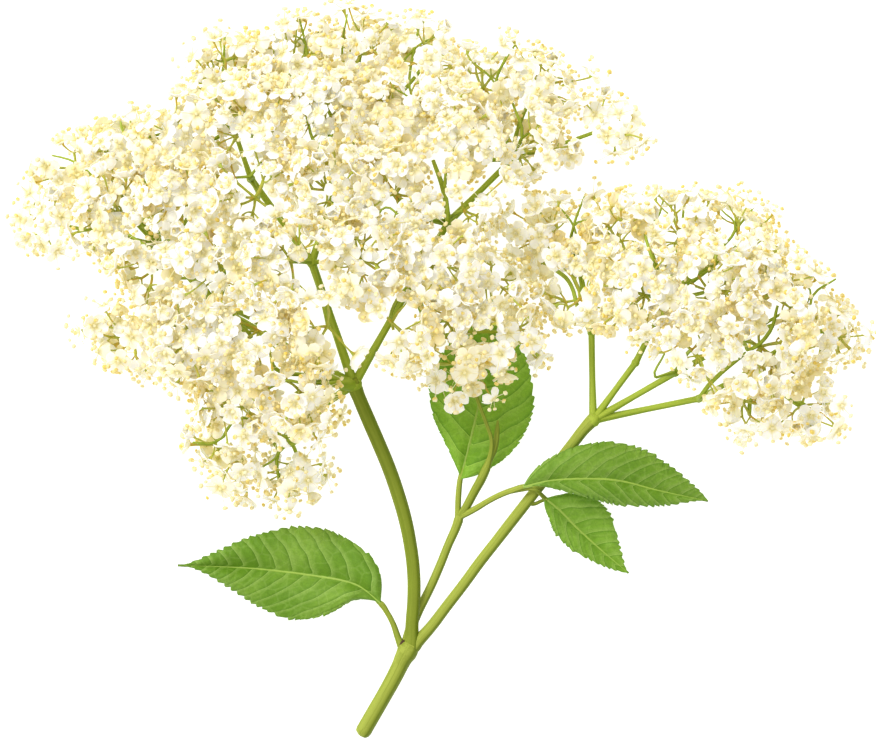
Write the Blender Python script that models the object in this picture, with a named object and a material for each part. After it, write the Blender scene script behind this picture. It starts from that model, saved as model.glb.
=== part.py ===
"""A cut sprig of elder in flower, lying on a surface with its flowers facing up.

A short cut stem forks at a swollen joint into two flower stalks, a thin leaf stalk and
the stalk of one leaflet. Each flower stalk ends in a head of rays. A ray ends in a
spray: a small hub with the stalks of the flowers that stand on it.
"""

import math

import bmesh
import bpy
import numpy as np
from mathutils import Vector

MM = 0.001

# Places are in millimetres from the stem's joint: x to the right and y up the sprig as it
# is seen from above, z above the surface. JOINT_AT puts the joint in the part's own frame.
JOINT_AT = np.array([-7.29, -69.63, 0.0])

FLOWER_RADIUS = 4.9
FLOWER_SPACING = 10.2
THROAT_RADIUS = 0.6
THROAT_DEPTH = 1.9
NOTCH_RADIUS = 2.6
PETAL_COUNT = 5
PETAL_HALF_WIDTH = math.radians(22)
PEDICEL_LENGTH = 11.0
HUB_RADIUS = 1.7
SEAT_GAP = 0.3
SPRAY_SPREAD = math.radians(80)
TRIALS_PER_SPRAY = 1400
PRESSED_DEPTH = 0.25
OUTLINE_SHARE = 0.7
FLOWER_SEED = 11

LEAF_THICKNESS = 0.8
MIDRIB_THICKNESS = 1.5
LEAF_TOP_UNDER_FLOWERS = 7.0

# A stalk is a list of x, y, z and radius along its middle line.
STALKS = {
    "cut_stem": [
        (-11.5, -21, 2.2, 2.15), (-8.9, -16.5, 2.6, 2.1), (-6.3, -12, 3.0, 2.1), (-3.8, -7.5, 3.7, 2.2),
        (-2, -3.9, 4.3, 2.25), (0, 0, 5, 2.6),
    ],
    "large_stalk": [
        (0.4, -1, 5, 2.0), (0.9, 5.8, 5.5, 1.7), (1.4, 13.3, 6, 1.7), (1.3, 19.5, 6.5, 1.7),
        (0.5, 26.2, 7.2, 1.7), (-0.8, 32.7, 8, 1.75), (-2.7, 39.3, 9, 1.8), (-4.8, 45.4, 10, 1.8),
        (-7.1, 51, 11.2, 1.8), (-9.6, 56.8, 12.5, 1.85), (-13.6, 66.5, 16, 1.9),
    ],
    "small_stalk": [
        (0, -0.5, 5, 1.7), (2.4, 1.9, 5, 1.5), (5.8, 5.7, 5.1, 1.45), (9.6, 10.7, 5.5, 1.4),
        (13.9, 16.3, 6.2, 1.4), (17.9, 21.8, 7.2, 1.4), (21.8, 26.8, 8.2, 1.4), (25.6, 31.7, 9.1, 1.45),
        (28.7, 35.7, 9.6, 1.45), (36, 45, 10.3, 1.45), (41.2, 51.6, 11, 1.45), (46.4, 57.6, 12, 1.6),
    ],
    "leaf_stalk": [
        (-0.4, 0.8, 4.6, 1.2), (1.3, 5.8, 4, 1.1), (3.2, 10, 3.6, 1.1), (5.7, 15.8, 3.5, 1.1),
        (8.1, 21.3, 3.8, 1.1), (10.1, 26.3, 4.2, 1.1), (12.1, 30.8, 4.8, 1.1), (12.8, 33, 5, 1.1),
    ],
    "left_petiole": [
        (-0.8, -0.5, 5, 1.1), (-2.7, 3.2, 5, 0.8), (-3.8, 6.3, 4.9, 0.75), (-5.4, 9.3, 4.7, 0.7),
        (-6.8, 11.3, 4.6, 0.75),
    ],
    "middle_petiole": [(12.6, 32.5, 5, 0.8), (12.6, 38.3, 5.2, 0.8), (13, 42.4, 5.2, 0.75)],
    "low_flower_stalk": [
        (12.8, 32.8, 5, 0.8), (14.3, 35.3, 6, 1.1), (16.6, 39.6, 7.2, 1.15), (18.5, 43.1, 8.3, 1.2),
        (20, 46.3, 9.2, 0.9), (20.9, 49.5, 10, 0.7), (20.9, 52.5, 10.7, 0.65), (18.4, 60, 11.3, 0.6),
        (17, 64.2, 11.6, 0.6), (16.7, 68.4, 13.1, 0.6),
    ],
    "bract": [(20, 46.3, 8.8, 0.9), (21.7, 50.5, 8.9, 0.85), (22.3, 54.5, 8.6, 0.75), (22.5, 58, 8, 0.4)],
    "right_petiole": [
        (12.6, 32.8, 5, 0.8), (14.2, 33.9, 5.8, 0.8), (17, 35.4, 7.4, 0.8), (20.1, 37.3, 9.4, 0.8),
        (23.4, 39, 11.4, 0.8), (26.3, 40.1, 12.9, 0.8), (28.4, 40.8, 13.6, 0.8),
    ],
    "small_petiole": [
        (24.7, 39.5, 12, 0.6), (28.5, 40.1, 12.3, 0.6), (31.8, 39.9, 12, 0.6), (33.3, 39, 10.8, 0.6),
        (34, 38.3, 10, 0.65),
    ],
    "bare_petiole": [
        (30.3, 37.3, 9.8, 0.7), (31.3, 36.5, 9.6, 0.6), (32.6, 36.8, 9.2, 0.5), (33.9, 37.2, 8.7, 0.5),
    ],
}

# A fork is a place where rays part: x, y, the fork or stalk it grows from, and its radius.
LARGE_BASE = (-13.6, 66.5, 16.0)
SMALL_BASE = (46.4, 57.6, 12.0)
LARGE_FORKS = {
    "base": (-13.6, 66.5, None, 1.9),
    "middle": (-24, 97, "base", 1.2),
    "upper_left": (-37, 113, "middle", 1.0),
    "top_left": (-41, 131, "upper_left", 0.8),
    "top": (-15, 126, "middle", 0.9),
    "right": (1, 92, "base", 1.1),
    "upper_right": (10, 107, "right", 1.0),
    "far_right": (26, 123, "upper_right", 0.9),
    "left": (-48, 86, "base", 1.1),
    "far_left": (-62, 101, "left", 0.9),
    "lower_left": (-34, 53, "base", 1.0),
    "lower_right": (6, 78, "base", 1.0),
}
SMALL_FORKS = {
    "base": (46.4, 57.6, None, 1.6),
    "upright": (46, 79.5, "base", 0.95),
    "inner": (57, 72, "base", 0.95),
    "inner_top": (65, 88, "inner", 0.8),
    "outer": (67, 69.5, "base", 0.95),
    "outer_tip": (83, 78, "outer", 0.8),
    "lowest": (73, 63, "base", 0.95),
    "lowest_tip": (86, 70, "lowest", 0.8),
}

# The hubs of the sprays, row by row from the top of each head.
LARGE_HUBS = [
    (-46, 143), (-29, 147), (-12, 149.5), (4, 147), (19, 141), (33.5, 142), (49.5, 131),
    (-71, 125), (-56, 128), (-38, 130), (-21, 132), (-4, 131), (12, 126), (28, 125),
    (-90, 107), (-72, 109), (-55, 112), (-38, 113), (-20, 115), (-3, 114), (14, 110),
    (-64, 95), (-47, 96), (-29, 97), (-12, 98), (6, 96), (21, 93),
    (-69, 77.5), (-54, 79), (-37, 80), (-20, 81), (-4, 82), (10, 82), (25, 79),
    (-43, 64), (-27, 65), (-45, 50.5), (-28, 47), (-84, 121),
]
SMALL_HUBS = [
    (36, 101), (52, 103), (68, 104), (83, 102),
    (43, 88), (59, 89), (75, 90), (91, 89), (105, 80),
    (71, 75), (88, 76), (84, 62), (99, 61),
]
LOW_HUB = (16.7, 70, 14.5)
LOW_FACING = (0.0, 0.75, 0.66)

# Each head's outline, seen from above.
LARGE_OUTLINE = [
    (-101.5, 109), (-93, 126), (-84, 131), (-71, 137), (-62, 135), (-59, 145), (-52, 154),
    (-43, 156), (-27, 160), (-15, 163), (3, 160), (9, 158), (13, 152), (28, 155),
    (41, 149), (54, 140), (62, 129), (58, 125), (45, 121), (34, 120), (23, 114),
    (22, 105), (27, 99), (32, 91), (35, 81), (35, 70), (26, 65), (16, 57),
    (8, 60), (-4, 68), (-13, 71), (-15, 58), (-18, 43), (-28, 31), (-41, 35),
    (-53, 42), (-57, 54), (-53, 63), (-66, 66), (-84, 76), (-83, 84), (-70, 90),
    (-76, 95), (-88, 95), (-98, 97),
]
SMALL_OUTLINE = [
    (22, 107), (26, 114), (38, 116), (53, 116), (68, 117), (83, 116), (93, 110), (97, 101),
    (104, 97), (112, 88), (118, 76), (111, 71), (105, 70), (111, 63), (111, 52), (98, 50),
    (86, 52), (79, 56), (73, 63), (67, 68), (58, 72), (47, 76), (37, 79), (31, 86), (24, 97),
]

# The heads are low domes: the middle in plan, the half lengths, and the heights of the hubs
# at the rim and at the top.
LARGE_DOME = ((-20.0, 99.0), (71.0, 53.0), 9.5, 38.0)
SMALL_DOME = ((70.0, 85.0), (37.0, 26.0), 9.5, 29.0)
DOME_ROOT_HEIGHT = -10.0
RAY_LEVEL = 0.6

# A leaf: the midrib's points, then for the side that lies left and the side that lies right of
# it, going from the base, the half width and the two powers that shape its edge; then
# the number of teeth, the arch of each half, the rise of its edges and its waves.
LEAVES = {
    "leaf_left": (
        [(-7, 11.6, 5.1), (-13.5, 16.3, 4.3), (-24.5, 18.5, 2.2), (-37, 20, 1.36), (-46, 20.6, 1.45),
         (-58, 21, 3.0)],
        (11.6, 1.5, 2.0), (12.0, 0.9, 1.5), 13, 1.6, 0.9, 0.4,
    ),
    "leaf_middle": (
        [(13.1, 42.8, 5.7), (15.5, 52, 4.2), (18, 63, 2.4), (20, 76, 1.9), (21, 88, 2.6)],
        (13.2, 1.3, 1.3), (13.6, 0.8, 1.1), 12, 1.2, 0.8, 0.3,
    ),
    "leaf_right": (
        [(28.8, 40.9, 14.3), (36, 42.5, 14.6), (46, 42.9, 13.4), (54, 42.2, 11), (62.5, 40, 8.2),
         (75.5, 37.2, 4.6)],
        (9.5, 0.85, 0.95), (6.0, 1.6, 1.6), 12, 1.3, 0.2, 0.4,
    ),
    "leaf_small": (
        [(34.3, 38, 10.4), (38, 35, 8), (43, 29.9, 4.6), (49, 24.5, 2.4), (55.5, 19, 1.7)],
        (8.8, 1.1, 1.5), (4.9, 0.7, 1.0), 10, 0.9, 0.8, 0.3,
    ),
}
TOOTH_DEPTH = 0.7
LEAF_BASE_HALF_WIDTH = 0.7


def material(name, colour, roughness):
    made = bpy.data.materials.new(name)
    made.use_nodes = True
    shader = made.node_tree.nodes["Principled BSDF"]
    shader.inputs["Base Color"].default_value = (*colour, 1)
    shader.inputs["Roughness"].default_value = roughness
    shader.inputs["Metallic"].default_value = 0
    made.diffuse_color = (*colour, 1)
    return made


def new_object(name, points, faces, colour):
    """An object from points in millimetres from the joint. Its faces all point outwards."""
    mesh = bpy.data.meshes.new(name)
    placed = (np.asarray(points, float) + JOINT_AT) * MM
    mesh.from_pydata(placed.tolist(), [], faces)
    shell = bmesh.new()
    shell.from_mesh(mesh)
    bmesh.ops.recalc_face_normals(shell, faces=shell.faces)
    shell.to_mesh(mesh)
    shell.free()
    mesh.materials.append(colour)
    made = bpy.data.objects.new(name, mesh)
    bpy.context.scene.collection.objects.link(made)
    return made


def apply_boolean(body, operation, operand):
    """Joins a collection to the body, or cuts an object from it."""
    modifier = body.modifiers.new("boolean", "BOOLEAN")
    modifier.operation = operation
    modifier.solver = "EXACT"
    modifier.material_mode = "TRANSFER"
    if operation == "UNION":
        modifier.operand_type = "COLLECTION"
        modifier.collection = operand
    else:
        modifier.object = operand
    bpy.context.view_layer.objects.active = body
    bpy.ops.object.modifier_apply(modifier=modifier.name)


def fuse(name, pieces):
    """One object from pieces that cross, by one union on their collection."""
    body = pieces[0]
    body.name = name
    repeats = bpy.data.collections.new(name + "_repeats")
    bpy.context.scene.collection.children.link(repeats)
    for piece in pieces[1:]:
        bpy.context.scene.collection.objects.unlink(piece)
        repeats.objects.link(piece)
    apply_boolean(body, "UNION", repeats)
    for piece in list(repeats.objects):
        bpy.data.objects.remove(piece)
    bpy.data.collections.remove(repeats)
    return body


def finish(body, sharp_angle):
    body.data.name = body.name
    body.data.shade_smooth()
    body.data.set_sharp_from_angle(angle=math.radians(sharp_angle))


def smooth_line(points, step):
    """Points about a step apart on a smooth curve through the given ones, radius and all."""
    given = np.array(points, float)
    ends = np.vstack([2 * given[0] - given[1], given, 2 * given[-1] - given[-2]])
    line = []
    for before, start, end, after in zip(ends, ends[1:], ends[2:], ends[3:]):
        count = max(1, round(np.linalg.norm((end - start)[:3]) / step))
        for part in np.arange(count) / count:
            line.append(
                0.5 * (2 * start + (end - before) * part
                       + (2 * before - 5 * start + 4 * end - after) * part**2
                       + (3 * start - before - 3 * end + after) * part**3)
            )
    return np.array([*line, given[-1]])


def tube(line, sides):
    """A closed tube round a line of x, y, z and radius."""
    points = []
    tangents = np.gradient(line[:, :3], axis=0)
    side = Vector(tangents[0]).orthogonal().normalized()
    for (x, y, z, radius), tangent in zip(line.tolist(), tangents):
        along = Vector(tangent).normalized()
        side = (side - along * side.dot(along)).normalized()
        other = along.cross(side)
        for corner in range(sides):
            turn = corner * 2 * math.pi / sides
            points.append(Vector((x, y, z)) + radius * (side * math.cos(turn) + other * math.sin(turn)))
    faces = [tuple(range(sides))[::-1], tuple(range(len(points) - sides, len(points)))]
    for ring in range(len(line) - 1):
        for corner in range(sides):
            after = (corner + 1) % sides
            low = ring * sides
            high = low + sides
            faces.append((low + corner, low + after, high + after))
            faces.append((low + corner, high + after, high + corner))
    return points, faces


def ball(centre, radius):
    """A small ball of 20 faces."""
    shell = bmesh.new()
    bmesh.ops.create_icosphere(shell, subdivisions=1, radius=radius)
    points = [vert.co + Vector(centre) for vert in shell.verts]
    faces = [tuple(vert.index for vert in face.verts) for face in shell.faces]
    shell.free()
    return points, faces


def dome_height(dome, place):
    """The height of a hub that stands at this place in the head."""
    middle, half_lengths, rim_height, top_height = dome
    away = ((place[0] - middle[0]) / half_lengths[0]) ** 2 + ((place[1] - middle[1]) / half_lengths[1]) ** 2
    return rim_height + (top_height - rim_height) * max(0.0, 1 - away)


def unit(vector):
    return vector / np.linalg.norm(vector)


def hubs_of(places, dome):
    """Each hub's middle, and the way its spray faces: out from the head's root."""
    middles = np.array([(*place, dome_height(dome, place)) for place in places])
    root = np.array([*dome[0], DOME_ROOT_HEIGHT])
    return [(middle, unit(middle - root)) for middle in middles]


def fork_points(forks, base, dome):
    """Each fork's x, y, z and radius. Rays run at a set share of the hubs' height."""
    found = {}
    for name, (x, y, parent, radius) in forks.items():
        height = base[2] if parent is None else RAY_LEVEL * dome_height(dome, (x, y))
        found[name] = np.array([x, y, height, radius])
    return found


def ray_lines(forks, base, dome, hubs):
    """The middle lines of a head's rays: from fork to fork, then from the nearest fork to each hub."""
    places = fork_points(forks, base, dome)
    lines = []
    for name, (_, _, parent, _) in forks.items():
        if parent is None:
            continue
        start = places[parent].copy()
        start[3] *= 0.75
        bow = (start + places[name]) / 2
        bow[2] -= 0.06 * np.linalg.norm((places[name] - start)[:3])
        lines.append(smooth_line([start, bow, places[name]], 14))
    for middle, facing in hubs:
        nearest = min(places.values(), key=lambda fork: np.linalg.norm(fork[:3] - middle))
        start = nearest.copy()
        start[3] = 0.7
        tip = middle - facing * (HUB_RADIUS + SEAT_GAP)
        bend = (start[:3] + middle) / 2 - facing * 3
        lines.append(smooth_line([start, (*bend, 0.62), (*tip, 0.58)], 11))
    return lines, list(places.values())


def inside(outline, points):
    """Which points lie inside the outline, by counting the edges that a line from each one meets."""
    crossings = np.zeros(len(points), int)
    for (x1, y1), (x2, y2) in zip(outline, outline[1:] + outline[:1]):
        spans = (points[:, 1] < y1) != (points[:, 1] < y2)
        if y1 != y2:
            meets = x1 + (points[:, 1] - y1) * (x2 - x1) / (y2 - y1)
            crossings += spans & (points[:, 0] < meets)
    return crossings % 2 == 1


def even_directions(count):
    """Directions spread evenly over a ball, along a spiral."""
    index = np.arange(count) + 0.5
    height = 1 - 2 * index / count
    turn = index * math.pi * (3 - math.sqrt(5))
    ring = np.sqrt(1 - height**2)
    return np.stack([ring * np.cos(turn), ring * np.sin(turn), height], axis=1)


def rim_of(centres, normals, count):
    """Points round the rim of each flower."""
    across = np.cross(normals, [0.31, 0.17, 0.94])
    across /= np.linalg.norm(across, axis=1, keepdims=True)
    other = np.cross(normals, across)
    turns = np.arange(count) * 2 * math.pi / count
    ring = across[:, None] * np.cos(turns)[:, None] + other[:, None] * np.sin(turns)[:, None]
    return centres[:, None] + FLOWER_RADIUS * ring


def clear_of_rays(centres, normals, hub, ray_points):
    """Whether each flower and its stalk stay clear of the rays."""
    near = ray_points[np.linalg.norm(ray_points[:, :3] - hub, axis=1) > HUB_RADIUS + 2]
    gap = near[None, :, :3] - centres[:, None]
    height = np.einsum("ijk,ik->ij", gap, normals)
    outward = np.linalg.norm(gap - height[..., None] * normals[:, None], axis=2)
    to_flower = np.hypot(np.maximum(outward - FLOWER_RADIUS, 0), height)
    along = np.clip(-height, 0, PEDICEL_LENGTH)
    to_stalk = np.hypot(outward, height + along)
    wanted = near[None, :, 3]
    return ((to_flower > wanted + 0.6) & (to_stalk > wanted + 1.2)).all(axis=1)


def over_middle_leaf(points):
    return (points[..., 0] > 1) & (points[..., 0] < 36) & (points[..., 1] > 41) & (points[..., 1] < 90)


def flower_sites(sprays, ray_points):
    """Where flowers stand: (spray, centre, normal), spread evenly over all the sprays at once.

    Trial places lie a stalk's length from each hub. One is kept if no other hub is nearer,
    if its flower lies inside the head's outline, but for the petals' tips, and above the
    surface, and if nothing else is in the way. Flowers are then set one by one beside
    those already there.
    """
    directions = even_directions(TRIALS_PER_SPRAY)
    middles = np.array([middle for middle, _, _ in sprays])
    owners = []
    places = []
    facings = []
    for index, (middle, facing, outline) in enumerate(sprays):
        normals = directions[directions @ facing > math.cos(SPRAY_SPREAD)]
        centres = middle + PEDICEL_LENGTH * normals
        others = np.delete(middles, index, axis=0)
        free = np.linalg.norm(centres[:, None] - others, axis=2).min(axis=1) > PEDICEL_LENGTH
        centres = centres[free]
        normals = normals[free]
        rims = rim_of(centres, normals, 12)
        covered = centres[:, None] + OUTLINE_SHARE * (rims - centres[:, None])
        floor = np.where(over_middle_leaf(rims), LEAF_TOP_UNDER_FLOWERS, -PRESSED_DEPTH)
        kept = (rims[..., 2] > floor).all(axis=1)
        kept &= inside(outline, covered.reshape(-1, 3)).reshape(len(rims), -1).all(axis=1)
        centres = centres[kept]
        normals = normals[kept]
        kept = clear_of_rays(centres, normals, middle, ray_points)
        owners.append(np.full(kept.sum(), index))
        places.append(centres[kept])
        facings.append(normals[kept])
    owners = np.concatenate(owners)
    places = np.concatenate(places)
    facings = np.concatenate(facings)
    lowest = rim_of(places, facings, 24)[..., 2].min(axis=1)
    nearest = np.full(len(places), np.inf)
    second = np.full(len(places), np.inf)
    chosen = []

    def settle(pick):
        chosen.append(pick)
        distance = np.linalg.norm(places - places[pick], axis=1)
        second[:] = np.minimum(second, np.maximum(nearest, distance))
        nearest[:] = np.minimum(nearest, distance)

    for index in range(len(sprays)):
        touching = (owners == index) & (nearest > FLOWER_SPACING) & (lowest < 0)
        if touching.any():
            settle(np.flatnonzero(touching)[np.argmin(lowest[touching].round(6))])
    while (nearest > FLOWER_SPACING).any():
        score = np.where(nearest > FLOWER_SPACING, nearest + np.minimum(second, 60), np.inf)
        settle(np.argmin(score.round(6)))
    return [(owners[pick], places[pick], facings[pick]) for pick in chosen]


def flower(centre, normal, spin):
    """A flower of five petals, dished, on a three-sided stalk that runs into the hub.

    The last faces, as many as the third result says, are the stalk's.
    """
    across = unit(np.cross(normal, [0.31, 0.17, 0.94]))
    other = np.cross(normal, across)

    def place(radius, turn, height):
        turn += spin
        return centre + radius * (across * math.cos(turn) + other * math.sin(turn)) + height * normal

    rim = []
    for petal in range(PETAL_COUNT):
        middle = petal * 2 * math.pi / PETAL_COUNT
        rim.append(place(FLOWER_RADIUS, middle - PETAL_HALF_WIDTH, 0.1))
        rim.append(place(FLOWER_RADIUS, middle + PETAL_HALF_WIDTH, 0.1))
        rim.append(place(NOTCH_RADIUS, middle + math.pi / PETAL_COUNT, -0.1))
    thirds = np.arange(3) * 2 * math.pi / 3
    throat = [place(THROAT_RADIUS, turn, -THROAT_DEPTH) for turn in thirds]
    root_depth = PEDICEL_LENGTH - 0.6 * HUB_RADIUS
    root = [place(THROAT_RADIUS * 0.7, turn, -root_depth) for turn in thirds]
    points = [*rim, *throat, *root, centre - 0.45 * normal]
    count = len(rim)
    heart = len(points) - 1
    faces = [(heart, corner, (corner + 1) % count) for corner in range(count)]
    share = count // 3
    stalk = [(count + 3, count + 5, count + 4)]
    for side in range(3):
        upper = count + side
        after = count + (side + 1) % 3
        for corner in range(side * share, (side + 1) * share):
            faces.append((corner, upper, (corner + 1) % count))
        faces.append(((side + 1) * share % count, upper, after))
        stalk.append((upper, upper + 3, after + 3))
        stalk.append((upper, after + 3, after))
    return points, faces + stalk, len(stalk)


def leaf_half_width(part, width, rise, fall):
    peak = rise / (rise + fall)
    return width * (part / peak) ** rise * ((1 - part) / (1 - peak)) ** fall


def leaf(name, green, rib_points, left, right, teeth, arch, edge_rise, wave):
    """A blade with a toothed edge, thicker along its midrib, split alike on both faces."""
    line = smooth_line([(*point, 0) for point in rib_points], 1)[:, :3]
    travelled = np.concatenate([[0], np.cumsum(np.linalg.norm(np.diff(line, axis=0), axis=1))])
    travelled /= travelled[-1]
    columns = (-1.0, -0.5, 0.0, 0.5, 1.0)
    top = []
    bottom = []
    rows = 2 * teeth
    for row in range(rows):
        part = row / rows
        if row % 2:
            part += 0.35 / rows
        centre = np.array([np.interp(part, travelled, line[:, axis]) for axis in range(3)])
        ahead = np.array([np.interp(min(part + 0.02, 1), travelled, line[:, axis]) for axis in range(3)])
        behind = np.array([np.interp(max(part - 0.02, 0), travelled, line[:, axis]) for axis in range(3)])
        along = unit((ahead - behind)[:2])
        sideways = np.array([along[1], -along[0], 0])
        for column in columns:
            width, rise, fall = left if column < 0 else right
            reach = leaf_half_width(part, width, rise, fall)
            tooth = TOOTH_DEPTH * min(1, reach / 3) * (0.6 if row % 2 else -0.4)
            reach = max(reach + tooth, LEAF_BASE_HALF_WIDTH)
            share = abs(column)
            lift = (arch * math.sin(math.pi * share) + edge_rise * share) * min(1, reach / 5)
            lift += wave * share**2 * math.sin(9 * part + column) * min(1, reach / 5)
            point = centre + sideways * reach * column + np.array([0, 0, lift])
            top.append(point)
            thickness = MIDRIB_THICKNESS if column == 0 and 0 < row else LEAF_THICKNESS
            bottom.append(point - np.array([0, 0, thickness]))
    tip = line[-1]
    points = [*top, tip, *bottom, tip - np.array([0, 0, LEAF_THICKNESS])]
    half = len(top) + 1
    width = len(columns)
    upper = []
    for row in range(rows - 1):
        for column in range(width - 1):
            corner = row * width + column
            ahead = corner + width
            upper.append((corner, corner + 1, ahead + 1))
            upper.append((corner, ahead + 1, ahead))
    last = (rows - 1) * width
    for column in range(width - 1):
        upper.append((last + column, last + column + 1, half - 1))
    faces = [*upper, *(tuple(corner + half for corner in face)[::-1] for face in upper)]
    edge = [row * width for row in range(rows)] + [half - 1]
    edge += [row * width + width - 1 for row in reversed(range(rows))]
    edge += [column for column in reversed(range(1, width - 1))]
    for start, end in zip(edge, edge[1:] + edge[:1]):
        faces.append((start, end, end + half))
        faces.append((start, end + half, start + half))
    return new_object(name, points, faces, green)


def block(name, low, high, colour):
    """A plain block between two corners."""
    corners = [(x, y, z) for x in (low[0], high[0]) for y in (low[1], high[1]) for z in (low[2], high[2])]
    faces = [(0, 1, 3, 2), (4, 6, 7, 5), (0, 4, 5, 1), (2, 3, 7, 6), (0, 2, 6, 4), (1, 5, 7, 3)]
    return new_object(name, corners, faces, colour)


def press_flat(bodies):
    """Gives each body that dips below the surface a small flat spot where it rests."""
    for body in bodies:
        if min(vert.co.z for vert in body.data.vertices) < 0:
            colour = body.data.materials[0]
            surface = block("surface", (-200, -100, -20), (200, 250, 0), colour)
            apply_boolean(body, "DIFFERENCE", surface)
            bpy.data.objects.remove(surface)


def build_stem(ray_sets, green):
    pieces = []
    for name, points in STALKS.items():
        step, sides = (9, 8) if points[0][3] > 1.5 else (6.5, 5)
        pieces.append(new_object(name, *tube(smooth_line(points, step), sides), green))
    pieces.append(new_object("joint", *ball((0, 0, 5), 3.1), green))
    for lines, forks in ray_sets:
        for line in lines:
            sides = 5 if line[0][3] > 0.75 else 4
            pieces.append(new_object("ray", *tube(line, sides), green))
        for x, y, z, radius in forks:
            if radius > 0.9:
                pieces.append(new_object("fork", *ball((x, y, z), radius * 1.25), green))
    finish(fuse("stem", pieces), 40)


def build_sprays(names, sprays, sites, cream, green):
    """Each spray: the hub with its flowers, fused."""
    draws = np.random.default_rng(FLOWER_SEED)
    bodies = []
    for index, (name, (middle, _, _)) in enumerate(zip(names, sprays)):
        pieces = [new_object(name, *ball(middle, HUB_RADIUS), green)]
        for owner, centre, normal in sites:
            if owner == index:
                points, faces, stalk_count = flower(centre, normal, draws.uniform(0, 2 * math.pi))
                bloom = new_object("flower", points, faces, cream)
                bloom.data.materials.append(green)
                for face in bloom.data.polygons[-stalk_count:]:
                    face.material_index = 1
                pieces.append(bloom)
        body = fuse(name, pieces)
        finish(body, 35)
        bodies.append(body)
    return bodies


def main():
    for old in list(bpy.data.objects):
        bpy.data.objects.remove(old)
    green = material("stem_green", (0.27, 0.31, 0.045), 0.5)
    leaf_green = material("leaf_green", (0.2, 0.36, 0.035), 0.55)
    cream = material("petal_cream", (0.86, 0.8, 0.58), 0.6)
    ray_green = material("flower_stalk_green", (0.42, 0.45, 0.12), 0.5)

    large_hubs = hubs_of(LARGE_HUBS, LARGE_DOME)
    small_hubs = hubs_of(SMALL_HUBS, SMALL_DOME)
    low_hub = (np.array(LOW_HUB), unit(np.array(LOW_FACING)))
    ray_sets = [
        ray_lines(LARGE_FORKS, LARGE_BASE, LARGE_DOME, large_hubs),
        ray_lines(SMALL_FORKS, SMALL_BASE, SMALL_DOME, small_hubs),
    ]
    stalk_lines = [smooth_line(points, 1.5) for points in STALKS.values()]
    ray_points = np.vstack(stalk_lines + [smooth_line(line, 1) for lines, _ in ray_sets for line in lines])

    sprays = [(*hub, LARGE_OUTLINE) for hub in large_hubs]
    sprays += [(*hub, SMALL_OUTLINE) for hub in small_hubs]
    sprays.append((*low_hub, LARGE_OUTLINE))
    names = [f"spray_main_{index + 1:02d}" for index in range(len(large_hubs))]
    names += [f"spray_side_{index + 1:02d}" for index in range(len(small_hubs))]
    names.append("spray_low")

    sites = flower_sites(sprays, ray_points)
    build_stem(ray_sets, green)
    resting = build_sprays(names, sprays, sites, cream, ray_green)
    for name, shape in LEAVES.items():
        body = leaf(name, leaf_green, *shape)
        finish(body, 60)
        resting.append(body)
    press_flat(resting)


main()
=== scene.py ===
"""The looks of a cut sprig of elder in flower, lying on a surface with its flowers facing up."""

import math

import bpy
import numpy as np
from mathutils import Matrix, Vector, noise


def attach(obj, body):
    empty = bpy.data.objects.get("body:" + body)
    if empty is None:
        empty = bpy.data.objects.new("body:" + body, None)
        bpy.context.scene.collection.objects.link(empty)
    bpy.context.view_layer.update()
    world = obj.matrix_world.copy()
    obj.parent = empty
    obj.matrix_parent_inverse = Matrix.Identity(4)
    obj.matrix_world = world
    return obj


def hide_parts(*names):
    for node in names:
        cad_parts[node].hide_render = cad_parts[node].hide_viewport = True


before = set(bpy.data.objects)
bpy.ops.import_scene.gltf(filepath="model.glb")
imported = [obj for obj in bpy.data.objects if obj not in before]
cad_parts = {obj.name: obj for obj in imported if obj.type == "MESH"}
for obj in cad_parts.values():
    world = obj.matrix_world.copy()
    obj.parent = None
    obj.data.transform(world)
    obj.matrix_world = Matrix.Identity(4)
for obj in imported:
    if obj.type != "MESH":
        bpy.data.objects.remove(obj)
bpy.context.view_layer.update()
bpy.ops.object.select_all(action="DESELECT")


# The cut stem, its swollen joint and the stalks that part there. They are one green shoot with
# faint ridges along it: the old flower stalk is olive, the younger ones are yellow green.
MM = 0.001

# Places are in millimetres from the joint: x to the right and y up the sprig as it is seen
# from above, z above the surface.
JOINT_AT = Vector((-7.29, -69.63, 0.0))

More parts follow.
